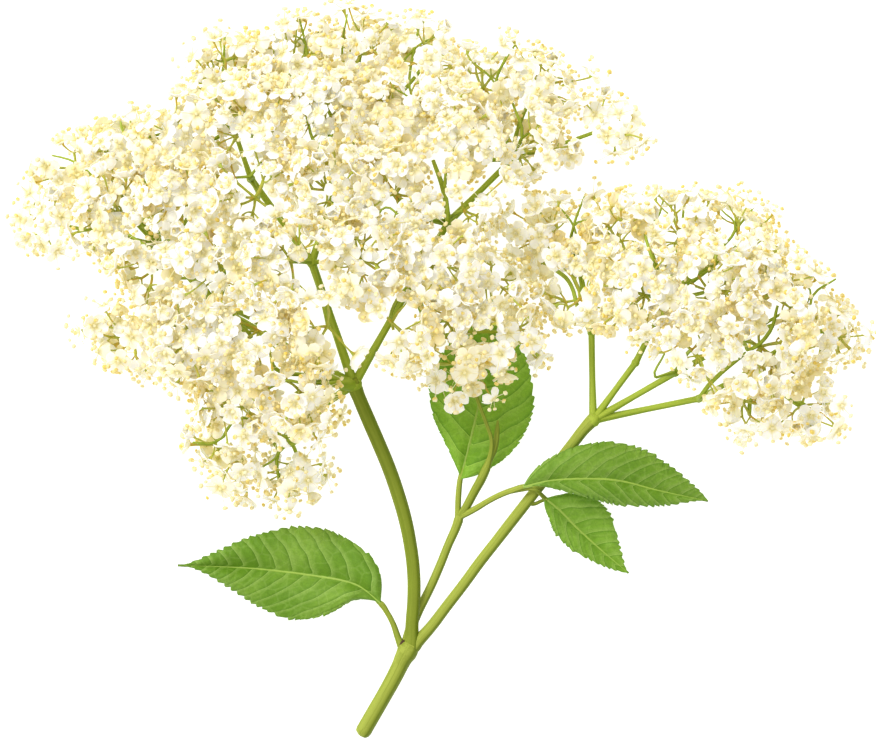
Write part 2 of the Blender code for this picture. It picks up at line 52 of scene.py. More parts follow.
# A stalk is a list of x, y, z and radius along its middle line.
STALKS = {
    "cut_stem": [
        (-12.1, -21.95, 2.08, 0.25), (-12, -21.8, 2.1, 1.0), (-11.85, -21.6, 2.12, 1.5),
        (-11.6, -21.2, 2.17, 1.9), (-11.2, -20.5, 2.25, 2.06),
        (-8.9, -16.5, 2.6, 2.05), (-6.3, -12, 3, 2.03), (-3.8, -7.5, 3.7, 2.08), (-2, -3.9, 4.3, 2.15),
        (-1.2, -2.2, 4.6, 2.35), (-0.5, -1, 4.8, 2.65), (0.1, 0.2, 5, 2.6), (0.5, 1.1, 5.1, 2.15),
        (0.8, 1.8, 5.1, 1.3),
    ],
    "large_stalk": [
        (0.4, -1.2, 5, 1.9), (0.7, 1.2, 5.1, 2.0), (0.85, 3.4, 5.3, 1.8), (0.9, 5.8, 5.5, 1.7),
        (1.4, 13.3, 6, 1.7), (1.3, 19.5, 6.5, 1.7), (0.5, 26.2, 7.2, 1.7), (-0.8, 32.7, 8, 1.75),
        (-2.7, 39.3, 9, 1.78), (-4.8, 45.4, 10, 1.78), (-7.1, 51, 11.2, 1.78), (-9.6, 56.8, 12.5, 1.8),
        (-12.4, 63.4, 14.8, 1.75), (-13.3, 65.7, 15.7, 1.9), (-13.8, 67, 16.2, 2.1),
        (-14.2, 68.2, 16.6, 1.5),
    ],
    "small_stalk": [
        (0.6, -0.4, 5, 1.6), (1.6, 0.9, 5, 1.75), (2.4, 1.9, 5, 1.6), (5.8, 5.7, 5.1, 1.45),
        (9.6, 10.7, 5.5, 1.4),
        (13.9, 16.3, 6.2, 1.4), (17.9, 21.8, 7.2, 1.4), (21.8, 26.8, 8.2, 1.4), (25.6, 31.7, 9.1, 1.44),
        (28.7, 35.7, 9.6, 1.44), (36, 45, 10.3, 1.44), (41.2, 51.6, 11, 1.45), (43.9, 55.1, 11.5, 1.5),
        (45.8, 57.2, 11.9, 1.7), (46.4, 57.8, 12, 1.75), (47, 58.6, 12.2, 1.4),
    ],
    "leaf_stalk": [
        (-0.4, 1.2, 4.5, 1.5), (0.2, 3.5, 4.2, 1.5), (1, 6.2, 3.9, 1.4), (2.8, 10, 3.6, 1.15),
        (5.7, 15.8, 3.5, 1.12), (8.1, 21.3, 3.8, 1.12), (10.1, 26.3, 4.2, 1.1), (12, 30.6, 4.8, 1.18),
        (12.6, 32.4, 5, 1.25), (12.9, 33.6, 5.1, 1.0),
    ],
    "left_petiole": [
        (-1, -0.6, 5, 1.2), (-1.7, 0.8, 5, 1.15), (-2.5, 2.6, 5, 0.88), (-3.8, 6.3, 4.9, 0.74),
        (-5.4, 9.3, 4.7, 0.7), (-6.7, 11.2, 4.6, 0.78), (-7.8, 12.1, 4.5, 0.55),
    ],
    "middle_petiole": [
        (12.5, 33, 5, 0.85), (12.5, 35, 5.05, 0.8), (12.6, 38.3, 5.2, 0.78), (13, 42.4, 5.2, 0.72),
        (13.6, 45.5, 5, 0.5),
    ],
    "low_flower_stalk": [
        (12.9, 33, 5, 0.9), (13.6, 34.2, 5.5, 1.0), (14.3, 35.3, 6, 1.08), (16.6, 39.6, 7.2, 1.15),
        (18.5, 43.1, 8.3, 1.2), (19.6, 45.5, 8.9, 1.1), (20.3, 47.5, 9.4, 0.75), (20.9, 50.3, 10.2, 0.55),
        (20.9, 52.8, 10.7, 0.5), (19.9, 56, 11, 0.48), (18.4, 60, 11.3, 0.45), (17, 64.2, 11.6, 0.44),
        (16.7, 68.4, 13.1, 0.42), (16.7, 70, 14.3, 0.4),
    ],
    "bract": [
        (19.2, 44.6, 8.4, 0.9), (20.4, 47.6, 8.8, 0.85), (21.7, 50.5, 8.9, 0.8), (22.3, 54.5, 8.6, 0.7),
        (22.5, 57.5, 8.1, 0.25),
    ],
    "right_petiole": [
        (12.7, 32.9, 5, 0.9), (13.6, 33.6, 5.5, 0.85), (14.6, 34.1, 6.1, 0.82), (17, 35.4, 7.4, 0.8),
        (20.1, 37.3, 9.4, 0.75), (23.4, 39, 11.4, 0.75), (26.3, 40.1, 12.9, 0.76), (28.4, 40.8, 13.6, 0.75),
        (30.5, 41.3, 14, 0.5),
    ],
    "small_petiole": [
        (24.7, 39.5, 12, 0.6), (28.5, 40.2, 12.8, 0.55), (30.4, 40.4, 13, 0.5), (31.9, 40.1, 12.7, 0.5),
        (33.3, 39, 11.3, 0.55), (34, 38.3, 10.3, 0.6), (34.9, 37.5, 9.8, 0.4),
    ],
    "bare_petiole": [
        (30.3, 37.5, 9.9, 0.75), (31, 36.7, 9.7, 0.65), (31.8, 36.6, 9.5, 0.5), (33.2, 37.2, 9.2, 0.45),
        (34.5, 37.7, 9.2, 0.42),
    ],
}
OLIVE_SHARE = {
    "cut_stem": 0.1, "large_stalk": 1.0, "low_flower_stalk": 0.35, "bract": 0.55, "left_petiole": 0.45,
    "bare_petiole": 0.6,
}
RIDGES = 7
RIDGE_DEPTH = 0.05
# The way that points away from the lamp: the side of a stalk or ray turned this way gets painted shade.
SHADED_WAY = (0.75, -0.6, -0.28)


def add_node(tree, kind, inputs=None, **settings):
    """A shader node. inputs maps a socket's name or number to a value or to an output."""
    made = tree.nodes.new("ShaderNode" + kind)
    for name, value in settings.items():
        setattr(made, name, value)
    for name, value in (inputs or {}).items():
        if isinstance(value, bpy.types.NodeSocket):
            tree.links.new(value, made.inputs[name])
        else:
            made.inputs[name].default_value = value
    return made


def blend_colours(tree, share, first, second, how="MIX"):
    colours = {0: share, 6: first, 7: second}
    return add_node(tree, "Mix", colours, data_type="RGBA", blend_type=how).outputs[2]


def spread_value(tree, value, start, end, low=0.0, high=1.0):
    """The value, moved from the range start to end into the range low to high, and kept there."""
    numbers = {0: value, 1: start, 2: end, 3: low, 4: high}
    return add_node(tree, "MapRange", numbers, interpolation_type="SMOOTHSTEP").outputs[0]


def work_out(tree, how, *values):
    return add_node(tree, "Math", dict(enumerate(values)), operation=how).outputs[0]


def add_noise(tree, place, scale, detail):
    return add_node(tree, "TexNoise", {"Vector": place, "Scale": scale, "Detail": detail}).outputs["Fac"]


def seen(red, green, blue):
    """A colour given as it looks on a screen, 0 to 255, in the linear values a shader takes."""
    return (*[((part / 255 + 0.055) / 1.055) ** 2.4 for part in (red, green, blue)], 1)


TISSUE_INPUTS = ("Colour", "Blotch Scale", "Blotches", "Grain Scale", "Grain")


def make_tissue_group():
    """Living tissue is never one even tone: soft blotches, and a fine grain of cells."""
    tree = bpy.data.node_groups.new("plant_tissue", "ShaderNodeTree")
    sockets = tree.interface
    sockets.new_socket("Colour", in_out="INPUT", socket_type="NodeSocketColor")
    for name in TISSUE_INPUTS[1:]:
        sockets.new_socket(name, in_out="INPUT", socket_type="NodeSocketFloat")
    sockets.new_socket("Colour", in_out="OUTPUT", socket_type="NodeSocketColor")
    sockets.new_socket("Height", in_out="OUTPUT", socket_type="NodeSocketFloat")
    given = tree.nodes.new("NodeGroupInput").outputs
    place = add_node(tree, "TexCoord").outputs["Object"]
    blotch = add_noise(tree, place, given["Blotch Scale"], 3.0)
    grain = add_noise(tree, place, given["Grain Scale"], 2.0)
    tone = 1.0
    for pattern, amount in ((blotch, "Blotches"), (grain, "Grain")):
        tone = work_out(tree, "MULTIPLY_ADD", work_out(tree, "SUBTRACT", pattern, 0.5), given[amount], tone)
    grey = add_node(tree, "CombineColor", {0: tone, 1: tone, 2: tone})
    toned = blend_colours(tree, 1.0, given["Colour"], grey.outputs[0], "MULTIPLY")
    out = tree.nodes.new("NodeGroupOutput")
    tree.links.new(toned, out.inputs["Colour"])
    tree.links.new(grain, out.inputs["Height"])
    return tree


TISSUE = make_tissue_group()


def add_tissue(tree, shader, *values):
    """Tissue with the values of TISSUE_INPUTS, as the shader's own colour."""
    tissue = add_node(tree, "Group", dict(zip(TISSUE_INPUTS, values)), node_tree=TISSUE).outputs
    tree.links.new(tissue["Colour"], shader.inputs["Base Color"])
    return tissue


def add_bump(tree, shader, height, strength, distance=0.0002):
    bump = add_node(tree, "Bump", {"Height": height, "Strength": strength, "Distance": distance})
    tree.links.new(bump.outputs[0], shader.inputs["Normal"])


def new_material(name, values):
    """A material with these plain values on its shader, as material, node tree and shader."""
    made = bpy.data.materials.new(name)
    made.use_nodes = True
    shader = made.node_tree.nodes["Principled BSDF"]
    for socket, value in values.items():
        shader.inputs[socket].default_value = value
    return made, made.node_tree, shader


def kept_value(tree, name, output="Fac"):
    """What the mesh keeps for each of its points under this name."""
    return add_node(tree, "Attribute", attribute_name=name).outputs[output]


def make_stalk_skin(name, young, old, shaded):
    """Young and old green, streaked along the stalk with the darker green at random, and with painted
    shade: the side turned away from the lamp is painted darker.
    """
    made, tree, shader = new_material(name, {"Roughness": 0.6, "Specular IOR Level": 0.15})
    shade = kept_value(tree, "shade_side")
    facing = kept_value(tree, "facing", "Vector")
    skin = blend_colours(tree, kept_value(tree, "olive"), young, old)
    streaks = add_noise(tree, facing, 3.2, 2.0)
    skin = blend_colours(tree, spread_value(tree, streaks, 0.42, 0.68, 0.0, 0.42), skin, shaded)
    # Painted shade: the side turned away from the lamp is painted the darker shaded green.
    skin = blend_colours(tree, spread_value(tree, shade, -0.15, 0.4, 0.0, 0.9), skin, shaded)
    tissue = add_tissue(tree, shader, skin, 160.0, 0.16, 2600.0, 0.12)
    add_bump(tree, shader, tissue["Height"], 0.15)
    return made


STALK_SKIN = make_stalk_skin("stalk_skin", seen(166, 179, 74), seen(136, 151, 50), seen(102, 121, 14))


def at(place):
    """A place measured from the joint, in the frame of the whole sprig."""
    return (Vector(place) + JOINT_AT) * MM


def add_object(name, data):
    made = bpy.data.objects.new(name, data)
    bpy.context.scene.collection.objects.link(made)
    return made


def select_only(*objects):
    bpy.ops.object.select_all(action="DESELECT")
    for each in objects:
        each.select_set(True)
    bpy.context.view_layer.objects.active = objects[0]


def join_pieces(name, pieces):
    select_only(*pieces)
    bpy.ops.object.join()
    pieces[0].name = name
    pieces[0].data.name = name
    return pieces[0]


def points_of(piece):
    return np.array([vert.co for vert in piece.data.vertices])


def set_values(piece, attribute, values):
    """Keeps a number for each point of the mesh, which a material can read."""
    layer = piece.data.attributes.get(attribute)
    layer = layer or piece.data.attributes.new(attribute, "FLOAT", "POINT")
    layer.data.foreach_set("value", np.broadcast_to(values, len(piece.data.vertices)).astype(np.float32))


def keep_facing(piece):
    """Keeps which way each point of a stalk faces, for the streaks and for the painted shade on the side
    turned away from the lamp.
    """
    facing = np.array([normal.vector for normal in piece.data.vertex_normals])
    layer = piece.data.attributes.new("facing", "FLOAT_VECTOR", "POINT")
    layer.data.foreach_set("vector", facing.astype(np.float32).ravel())
    set_values(piece, "shade_side", facing @ SHADED_WAY)


def ridged_ring():
    """The section of a stalk one unit in radius, with low ridges round it."""
    ring = bpy.data.curves.new("ridged_ring", "CURVE")
    ring.dimensions = "2D"
    outline = ring.splines.new("POLY")
    count = RIDGES * 4
    outline.points.add(count - 1)
    for index, corner in enumerate(outline.points):
        turn = index * 2 * math.pi / count
        reach = MM * (1 - RIDGE_DEPTH * (0.5 - 0.5 * math.cos(RIDGES * turn)))
        corner.co = (reach * math.cos(turn), reach * math.sin(turn), 0, 1)
    outline.use_cyclic_u = True
    return add_object("ridged_ring", ring)


def sweep_stalks(name, lines, skin, ring=None, sides=4, steps=5):
    """Closed stalks swept along lines of x, y, z and radius in millimetres from the joint."""
    curve = bpy.data.curves.new(name, "CURVE")
    curve.dimensions = "3D"
    curve.resolution_u = steps
    curve.use_fill_caps = True
    if ring:
        curve.bevel_mode = "OBJECT"
        curve.bevel_object = ring
    else:
        curve.bevel_depth = MM
        curve.bevel_resolution = sides // 2 - 2
    for line in lines:
        spline = curve.splines.new("BEZIER")
        spline.bezier_points.add(len(line) - 1)
        for knot, (x, y, z, radius) in zip(spline.bezier_points, line):
            knot.co = at((x, y, z))
            knot.radius = radius
            knot.handle_left_type = knot.handle_right_type = "AUTO"
    made = add_object(name, curve)
    select_only(made)
    bpy.ops.object.convert(target="MESH")
    bpy.ops.object.mode_set(mode="EDIT")
    bpy.ops.mesh.select_all(action="SELECT")
    bpy.ops.mesh.remove_doubles(threshold=1e-7)
    bpy.ops.mesh.normals_make_consistent(inside=False)
    bpy.ops.object.mode_set(mode="OBJECT")
    bpy.ops.object.shade_smooth_by_angle(angle=math.radians(60))
    made.data.materials.clear()
    made.data.materials.append(skin)
    return made


ring = ridged_ring()
stalk_pieces = []
for stalk_name, line in STALKS.items():
    stalk = sweep_stalks(stalk_name, [line], STALK_SKIN, ring)
    set_values(stalk, "olive", OLIVE_SHARE.get(stalk_name, 0.0))
    keep_facing(stalk)
    stalk_pieces.append(stalk)
bpy.data.objects.remove(ring)
stalks = join_pieces("stalks", stalk_pieces)
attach(stalks, "root")
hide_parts("stem")


# The dry brown bud scale in the fork of the joint: a thin pointed husk two millimetres long,
# which stayed there when the shoots grew out of their bud.
HUSK_AT = (-1.35, 1.7, 6.0)
HUSK_HALF_WIDTH = 0.5
HUSK_TURN = 0.7


def make_one_colour_skin(name, colour, roughness, cells, bump):
    """cells gives the scale and the amount of the blotches, then of the grain."""
    made, tree, shader = new_material(name, {"Roughness": roughness})
    tissue = add_tissue(tree, shader, colour, *cells)
    add_bump(tree, shader, tissue["Height"], bump)
    return made


HUSK_SKIN = make_one_colour_skin("bud_husk", seen(74, 48, 22), 0.75, (900.0, 0.8, 4000.0, 0.5), 0.5)
bpy.ops.mesh.primitive_ico_sphere_add(subdivisions=2, radius=HUSK_HALF_WIDTH * MM)
bud_scales = bpy.context.object
bud_scales.name = "bud_scales"
bud_scales.data.name = "bud_scales"
points = points_of(bud_scales)
points[:, 1] *= 2.0 - 0.6 * points[:, 1] / (HUSK_HALF_WIDTH * MM)
points[:, 2] *= 0.5
bud_scales.data.vertices.foreach_set("co", points.ravel())
bud_scales.data.transform(Matrix.Translation(at(HUSK_AT)) @ Matrix.Rotation(-HUSK_TURN, 4, "Z"))
bud_scales.data.materials.append(HUSK_SKIN)
bud_scales.data.shade_smooth()
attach(bud_scales, "root")


# The four leaflets: thin soft blades with saw teeth, sunk side veins and the tissue between
# them quilted up. The midrib is a paler rib that runs on from the leaf's stalk.
# For each: the midrib's points, each side's half width with how fast it swells from the
# stalk and thins to the tip, the arch, how high and wavy the edge is, and the veins' lean.
LEAVES = {
    "leaf_left": (
        [(-7, 11.6, 5.1), (-13.5, 16.3, 4.3), (-24.5, 18.5, 2.2), (-37, 20, 1.36), (-46, 20.6, 1.45),
         (-58, 21, 3.0)],
        (11.6, 1.5, 2.0), (12.0, 0.9, 1.5), 1.6, 0.9, 0.4, (1.7, 0.8),
    ),
    "leaf_middle": (
        [(13.1, 42.8, 5.7), (15.5, 52, 4.2), (18, 63, 2.4), (20, 76, 1.9), (21, 88, 2.6)],
        (13.2, 1.3, 1.3), (13.6, 0.8, 1.1), 1.2, 0.8, 0.3, (0.9, 0.9),
    ),
    "leaf_right": (
        [(28.8, 40.9, 14.3), (36, 42.5, 14.6), (46, 42.9, 13.4), (54, 42.2, 11), (62.5, 40, 8.2),
         (75.5, 37.2, 4.6)],
        (9.5, 0.85, 0.95), (6.0, 1.6, 1.6), 1.3, 0.2, 0.4, (1.5, 1.8),
    ),
    "leaf_small": (
        [(34.3, 38, 10.4), (38, 35, 8), (43, 29.9, 4.6), (49, 24.5, 2.4), (55.5, 19, 1.7)],
        (8.8, 1.1, 1.5), (4.9, 0.7, 1.0), 0.9, 0.8, 0.3, (1.0, 1.6),
    ),
}
# Painted light for the leaflets that lie in shade: how far each is brightened, and how much brighter the
# fully brightened one is.
LEAF_PAINTED_LIGHT = {"leaf_middle": 0.9, "leaf_small": 0.4}
PAINTED_LIGHT_LIFT = (1.25, 1.34, 1.0, 1)
LEAF_ALONG = 160
LEAF_ACROSS = 44
LEAF_THICKNESS = 0.4
TOOTH_PITCH = 1.9
TOOTH_DEPTH = 0.75
# The shares of a tooth's length in which it rises and falls back.
TOOTH_RISE = 0.82
TOOTH_FALL = 0.18
VEIN_PITCH = 6.0
QUILT_HEIGHT = 0.2
RIB_RADIUS = 0.52


def add_net(tree, place, scale, width):
    """The net of fine veins round cells of this scale."""
    cells = add_node(tree, "TexVoronoi", {"Vector": place, "Scale": scale}, feature="DISTANCE_TO_EDGE")
    return spread_value(tree, cells.outputs["Distance"], width, 0.0, 0.0, 0.22)


def make_leaf_skin():
    made, tree, shader = new_material("leaf_blade", {"Roughness": 0.6, "Specular IOR Level": 0.3})
    place = add_node(tree, "TexCoord").outputs["Object"]
    rib = kept_value(tree, "rib_distance")
    edge = kept_value(tree, "edge_distance")
    # From one side vein, at 0, to the next, at 1.
    share = work_out(tree, "FRACT", kept_value(tree, "vein_phase"))
    wide = add_noise(tree, place, 75.0, 3.0)
    blade = blend_colours(tree, spread_value(tree, wide, 0.35, 0.65), seen(98, 142, 26), seen(122, 162, 50))
    # Painted highlight on the quilted bulge just before each side vein, and painted shade on the slope just
    # after it, as if lit from one side.
    blade = blend_colours(tree, spread_value(tree, share, 0.62, 0.9, 0.0, 0.5), blade, seen(142, 176, 80))
    blade = blend_colours(tree, spread_value(tree, share, 0.3, 0.05, 0.0, 0.45), blade, seen(84, 128, 16))
    blade = blend_colours(tree, add_net(tree, place, 290.0, 0.1), blade, seen(150, 184, 88))
    net = add_net(tree, place, 760.0, 0.09)
    blade = blend_colours(tree, net, blade, seen(86, 128, 26))
    # Painted shade in the sunk groove of each side vein.
    vein_groove_shade = spread_value(tree, share, 0.085, 0.015, 0.0, 0.5)
    blade = blend_colours(tree, vein_groove_shade, blade, seen(68, 112, 8))
    near_rib = spread_value(tree, rib, 11.0, 0.5, 0.15, 0.6)
    vein = work_out(tree, "MULTIPLY", near_rib, spread_value(tree, share, 0.93, 0.985))
    blade = blend_colours(tree, vein, blade, seen(158, 190, 92))
    blade = blend_colours(tree, spread_value(tree, edge, 0.5, 0.0, 0.0, 0.3), blade, seen(84, 124, 26))
    # Painted light: the young value brightens the leaflets that lie in shade.
    blade = blend_colours(tree, kept_value(tree, "young"), blade, PAINTED_LIGHT_LIFT, "MULTIPLY")
    tissue = add_tissue(tree, shader, blade, 420.0, 0.22, 3200.0, 0.34)
    add_bump(tree, shader, work_out(tree, "MULTIPLY_ADD", net, -1.6, tissue["Height"]), 0.4)
    return made


LEAF_SKIN = make_leaf_skin()
RIB_SKIN = make_one_colour_skin("leaf_rib", seen(158, 190, 74), 0.45, (300.0, 0.3, 3000.0, 0.25), 0.2)


def smooth_line(points, step):
    """Points about a step apart on a smooth curve through the given ones."""
    given = np.array(points, float)
    ends = np.vstack([2 * given[0] - given[1], given, 2 * given[-1] - given[-2]])
    line = []
    for before, start, end, after in zip(ends, ends[1:], ends[2:], ends[3:]):
        count = max(1, round(np.linalg.norm((end - start)[:3]) / step))
        for part in np.arange(count) / count:
            line.append(
                0.5 * (2 * start + (end - before) * part
                       + (2 * before - 5 * start + 4 * end - after) * part**2
                       + (3 * start - before - 3 * end + after) * part**3)
            )
    return np.array([*line, given[-1]])


def uneven(across, along, level):
    """A smooth random number for each point, the same for the same place."""
    return np.array([noise.noise(Vector((x, y, level))) for x, y in zip(across, along)])


def leaf_half_width(part, width, rise, fall):
    peak = rise / (rise + fall)
    return width * (part / peak) ** rise * ((1 - part) / (1 - peak)) ** fall


def make_solid(sheet, thickness, offset, skin, sharpest):
    """Gives a leaf's blade or a petal its thickness and its skin."""
    select_only(sheet)
    wall = sheet.modifiers.new("wall", "SOLIDIFY")
    wall.thickness = thickness * MM
    wall.offset = offset
    bpy.ops.object.modifier_apply(modifier=wall.name)
    sheet.data.materials.append(skin)
    sheet.data.shade_smooth()
    sheet.data.set_sharp_from_angle(angle=math.radians(sharpest))


def make_blade(name, seed, rib_points, left, right, arch, edge_rise, wave, leans):
    """A blade from a flat grid: each of its points is moved to its place on the leaf."""
    line = smooth_line(rib_points, 0.5)
    travelled = np.concatenate([[0], np.cumsum(np.linalg.norm(np.diff(line, axis=0), axis=1))])
    length = travelled[-1]
    travelled /= length
    bpy.ops.mesh.primitive_grid_add(x_subdivisions=LEAF_ACROSS, y_subdivisions=LEAF_ALONG, size=2)
    blade = bpy.context.object
    grid = points_of(blade)
    column = grid[:, 0]
    part = (grid[:, 1] + 1) / 2
    share = np.abs(column)
    side = np.where(column < 0, -1.0, 1.0)

    def along_rib(places):
        return np.stack([np.interp(places, travelled, line[:, axis]) for axis in range(3)], axis=1)

    middle = along_rib(part)
    ahead = along_rib(np.minimum(part + 0.02, 1)) - along_rib(np.maximum(part - 0.02, 0))
    ahead /= np.linalg.norm(ahead[:, :2], axis=1)[:, None]
    sideways = np.stack([ahead[:, 1], -ahead[:, 0]], axis=1)
    reach = np.where(column < 0, leaf_half_width(part, *left), leaf_half_width(part, *right))
    wander = uneven(seed + 7 * part, 3.1 * side, 0.4)
    # The teeth fade out at the stalk and at the very tip.
    teeth = part * length / TOOTH_PITCH + 1.3 * wander
    tooth = teeth % 1.0
    cut = np.where(tooth < TOOTH_RISE, tooth / TOOTH_RISE, (1 - tooth) / TOOTH_FALL) - 0.55
    bold = np.clip((part - 0.05) / 0.08, 0, 1) * np.clip((1 - part) / 0.08, 0, 1)
    fine = uneven(seed + 31 * part, 5.0 * side, 2.4)
    reach = np.maximum(reach, 0.32 * (1 - part) + 0.04)
    jagged = TOOTH_DEPTH * bold * np.clip(reach / 4, 0, 1) * (cut * (0.85 + 0.9 * fine) + 0.5 * wander)
    outward = reach * share + jagged * share**5
    # Side veins leave the midrib in turn and bend towards the tip as they near the edge.
    wobble = uneven(seed + 0.3 * outward * side, 0.24 * part * length, 8.0)
    lag = np.where(column < 0, *leans) * outward * (0.55 + 0.45 * share)
    stagger = np.where(column > 0, 0.45 * np.clip(outward / 0.6, 0, 1), 0)
    phase = (part * length - lag) / VEIN_PITCH * (1 + 0.35 * part) + stagger + 0.14 * wobble + 40
    from_vein = np.abs(phase % 1.0 - 0.5)
    quilt = QUILT_HEIGHT * np.sin(math.pi * np.clip(1 - 2 * from_vein, 0, 1)) ** 0.8
    quilt *= np.clip(outward / 1.5, 0, 1) * np.clip(reach * (1 - share) / 1.2, 0, 1)
    ripple = uneven(seed + 0.7 * outward * side, 0.7 * part * length, 1.0)
    wide = np.minimum(reach / 5, 1)
    lift = (arch * np.sin(math.pi * share) + edge_rise * share) * wide
    lift += wave * share**2 * np.sin(9 * part + column) * wide
    lift += quilt - 0.5 * QUILT_HEIGHT * wide + 0.12 * ripple * wide
    place = middle.copy()
    place[:, :2] += sideways * (outward * side)[:, None]
    forward = np.where(tooth > 0.5, 0.35, 0.0) * bold * share**6
    place[:, :2] += ahead[:, :2] * forward[:, None]
    place[:, 2] += lift
    blade.data.vertices.foreach_set("co", ((place + np.array(JOINT_AT)) * MM).ravel())
    set_values(blade, "vein_phase", phase)
    set_values(blade, "rib_distance", outward)
    set_values(blade, "edge_distance", reach * (1 - share))
    select_only(blade)
    bpy.ops.object.mode_set(mode="EDIT")
    bpy.ops.mesh.select_all(action="SELECT")
    bpy.ops.mesh.normals_make_consistent(inside=False)
    bpy.ops.object.mode_set(mode="OBJECT")
    if blade.data.polygons[len(blade.data.polygons) // 2].normal.z < 0:
        blade.data.flip_normals()
    make_solid(blade, LEAF_THICKNESS, -1, LEAF_SKIN, 70)

    # The midrib thins out to the tip, and stands a little proud of the blade.
    rib_line = []
    for spot in np.linspace(0, 0.97, 14):
        x, y, z = along_rib(np.array([spot]))[0]
        radius = RIB_RADIUS * (1 - spot) ** 0.8 + 0.08
        rib_line.append((x, y, z - 0.72 * radius - 0.5 * QUILT_HEIGHT + 0.12, radius))
    rib = sweep_stalks(name + "_rib", [rib_line], RIB_SKIN, sides=8, steps=3)
    return join_pieces(name, [blade, rib])


for seed, (leaf_name, shape) in enumerate(LEAVES.items()):
    leaf = make_blade(leaf_name + "_blade", 17.0 * seed, *shape)
    # The young value is painted light for the leaflets that lie in shade.
    set_values(leaf, "young", LEAF_PAINTED_LIGHT.get(leaf_name, 0.0))
    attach(leaf, "root")
    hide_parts(leaf_name)


# The rays of the two flower heads. Each is a thin green stalk with a swelling where it forks;
# the last ones end in the hubs that carry the sprays of flowers.
# A fork is x, y, the fork it grows from, and its radius.
LARGE_FORKS = {
    "base": (-13.6, 66.5, None, 1.9),
    "middle": (-24, 97, "base", 1.2),
    "upper_left": (-39.3, 118, "middle", 1.0),
    "top_left": (-44, 131.5, "upper_left", 0.7),
    "top": (-15, 126, "middle", 0.9),
    "right": (1, 92, "base", 1.1),
    "upper_right": (10, 107, "right", 1.0),
    "far_right": (26, 123, "upper_right", 0.9),
    "left": (-48, 86, "base", 1.1),
    "far_left": (-62, 101, "left", 0.9),
    "lower_left": (-34, 53, "base", 1.0),
    "lower_right": (6, 78, "right", 1.0),
}
SMALL_FORKS = {
    "base": (46.4, 57.6, None, 1.6),
    "upright": (46, 79.5, "base", 0.95),
    "inner": (57, 72, "base", 0.95),
    "inner_top": (65, 88, "inner", 0.8),
    "outer": (67, 69.5, "base", 0.95),
    "outer_tip": (83, 78, "outer", 0.8),
    "lowest": (73, 63, "base", 0.95),
    "lowest_tip": (86, 70, "lowest", 0.8),
}

# The hubs of the sprays, row by row from the top of each head.
LARGE_HUBS = [
    (-46, 143), (-29, 147), (-12, 149.5), (4, 147), (19, 141), (33.5, 142), (49.5, 131),
    (-71, 125), (-56, 128), (-38, 130), (-21, 132), (-4, 131), (12, 126), (28, 125),
    (-90, 107), (-72, 109), (-55, 112), (-38, 113), (-20, 115), (-3, 114), (14, 110),
    (-64, 95), (-47, 96), (-29, 97), (-12, 98), (6, 96), (21, 93),
    (-69, 77.5), (-54, 79), (-37, 80), (-20, 81), (-4, 82), (10, 82), (25, 79),
    (-43, 64), (-27, 65), (-45, 50.5), (-28, 47), (-84, 121),
]
SMALL_HUBS = [
    (36, 101), (52, 103), (68, 104), (83, 102),
    (43, 88), (59, 89), (75, 90), (91, 89), (105, 80),
    (71, 75), (88, 76), (84, 62), (99, 61),
]
LOW_HUB = (16.7, 70, 14.5)
LOW_FACING = (0.0, 0.75, 0.66)

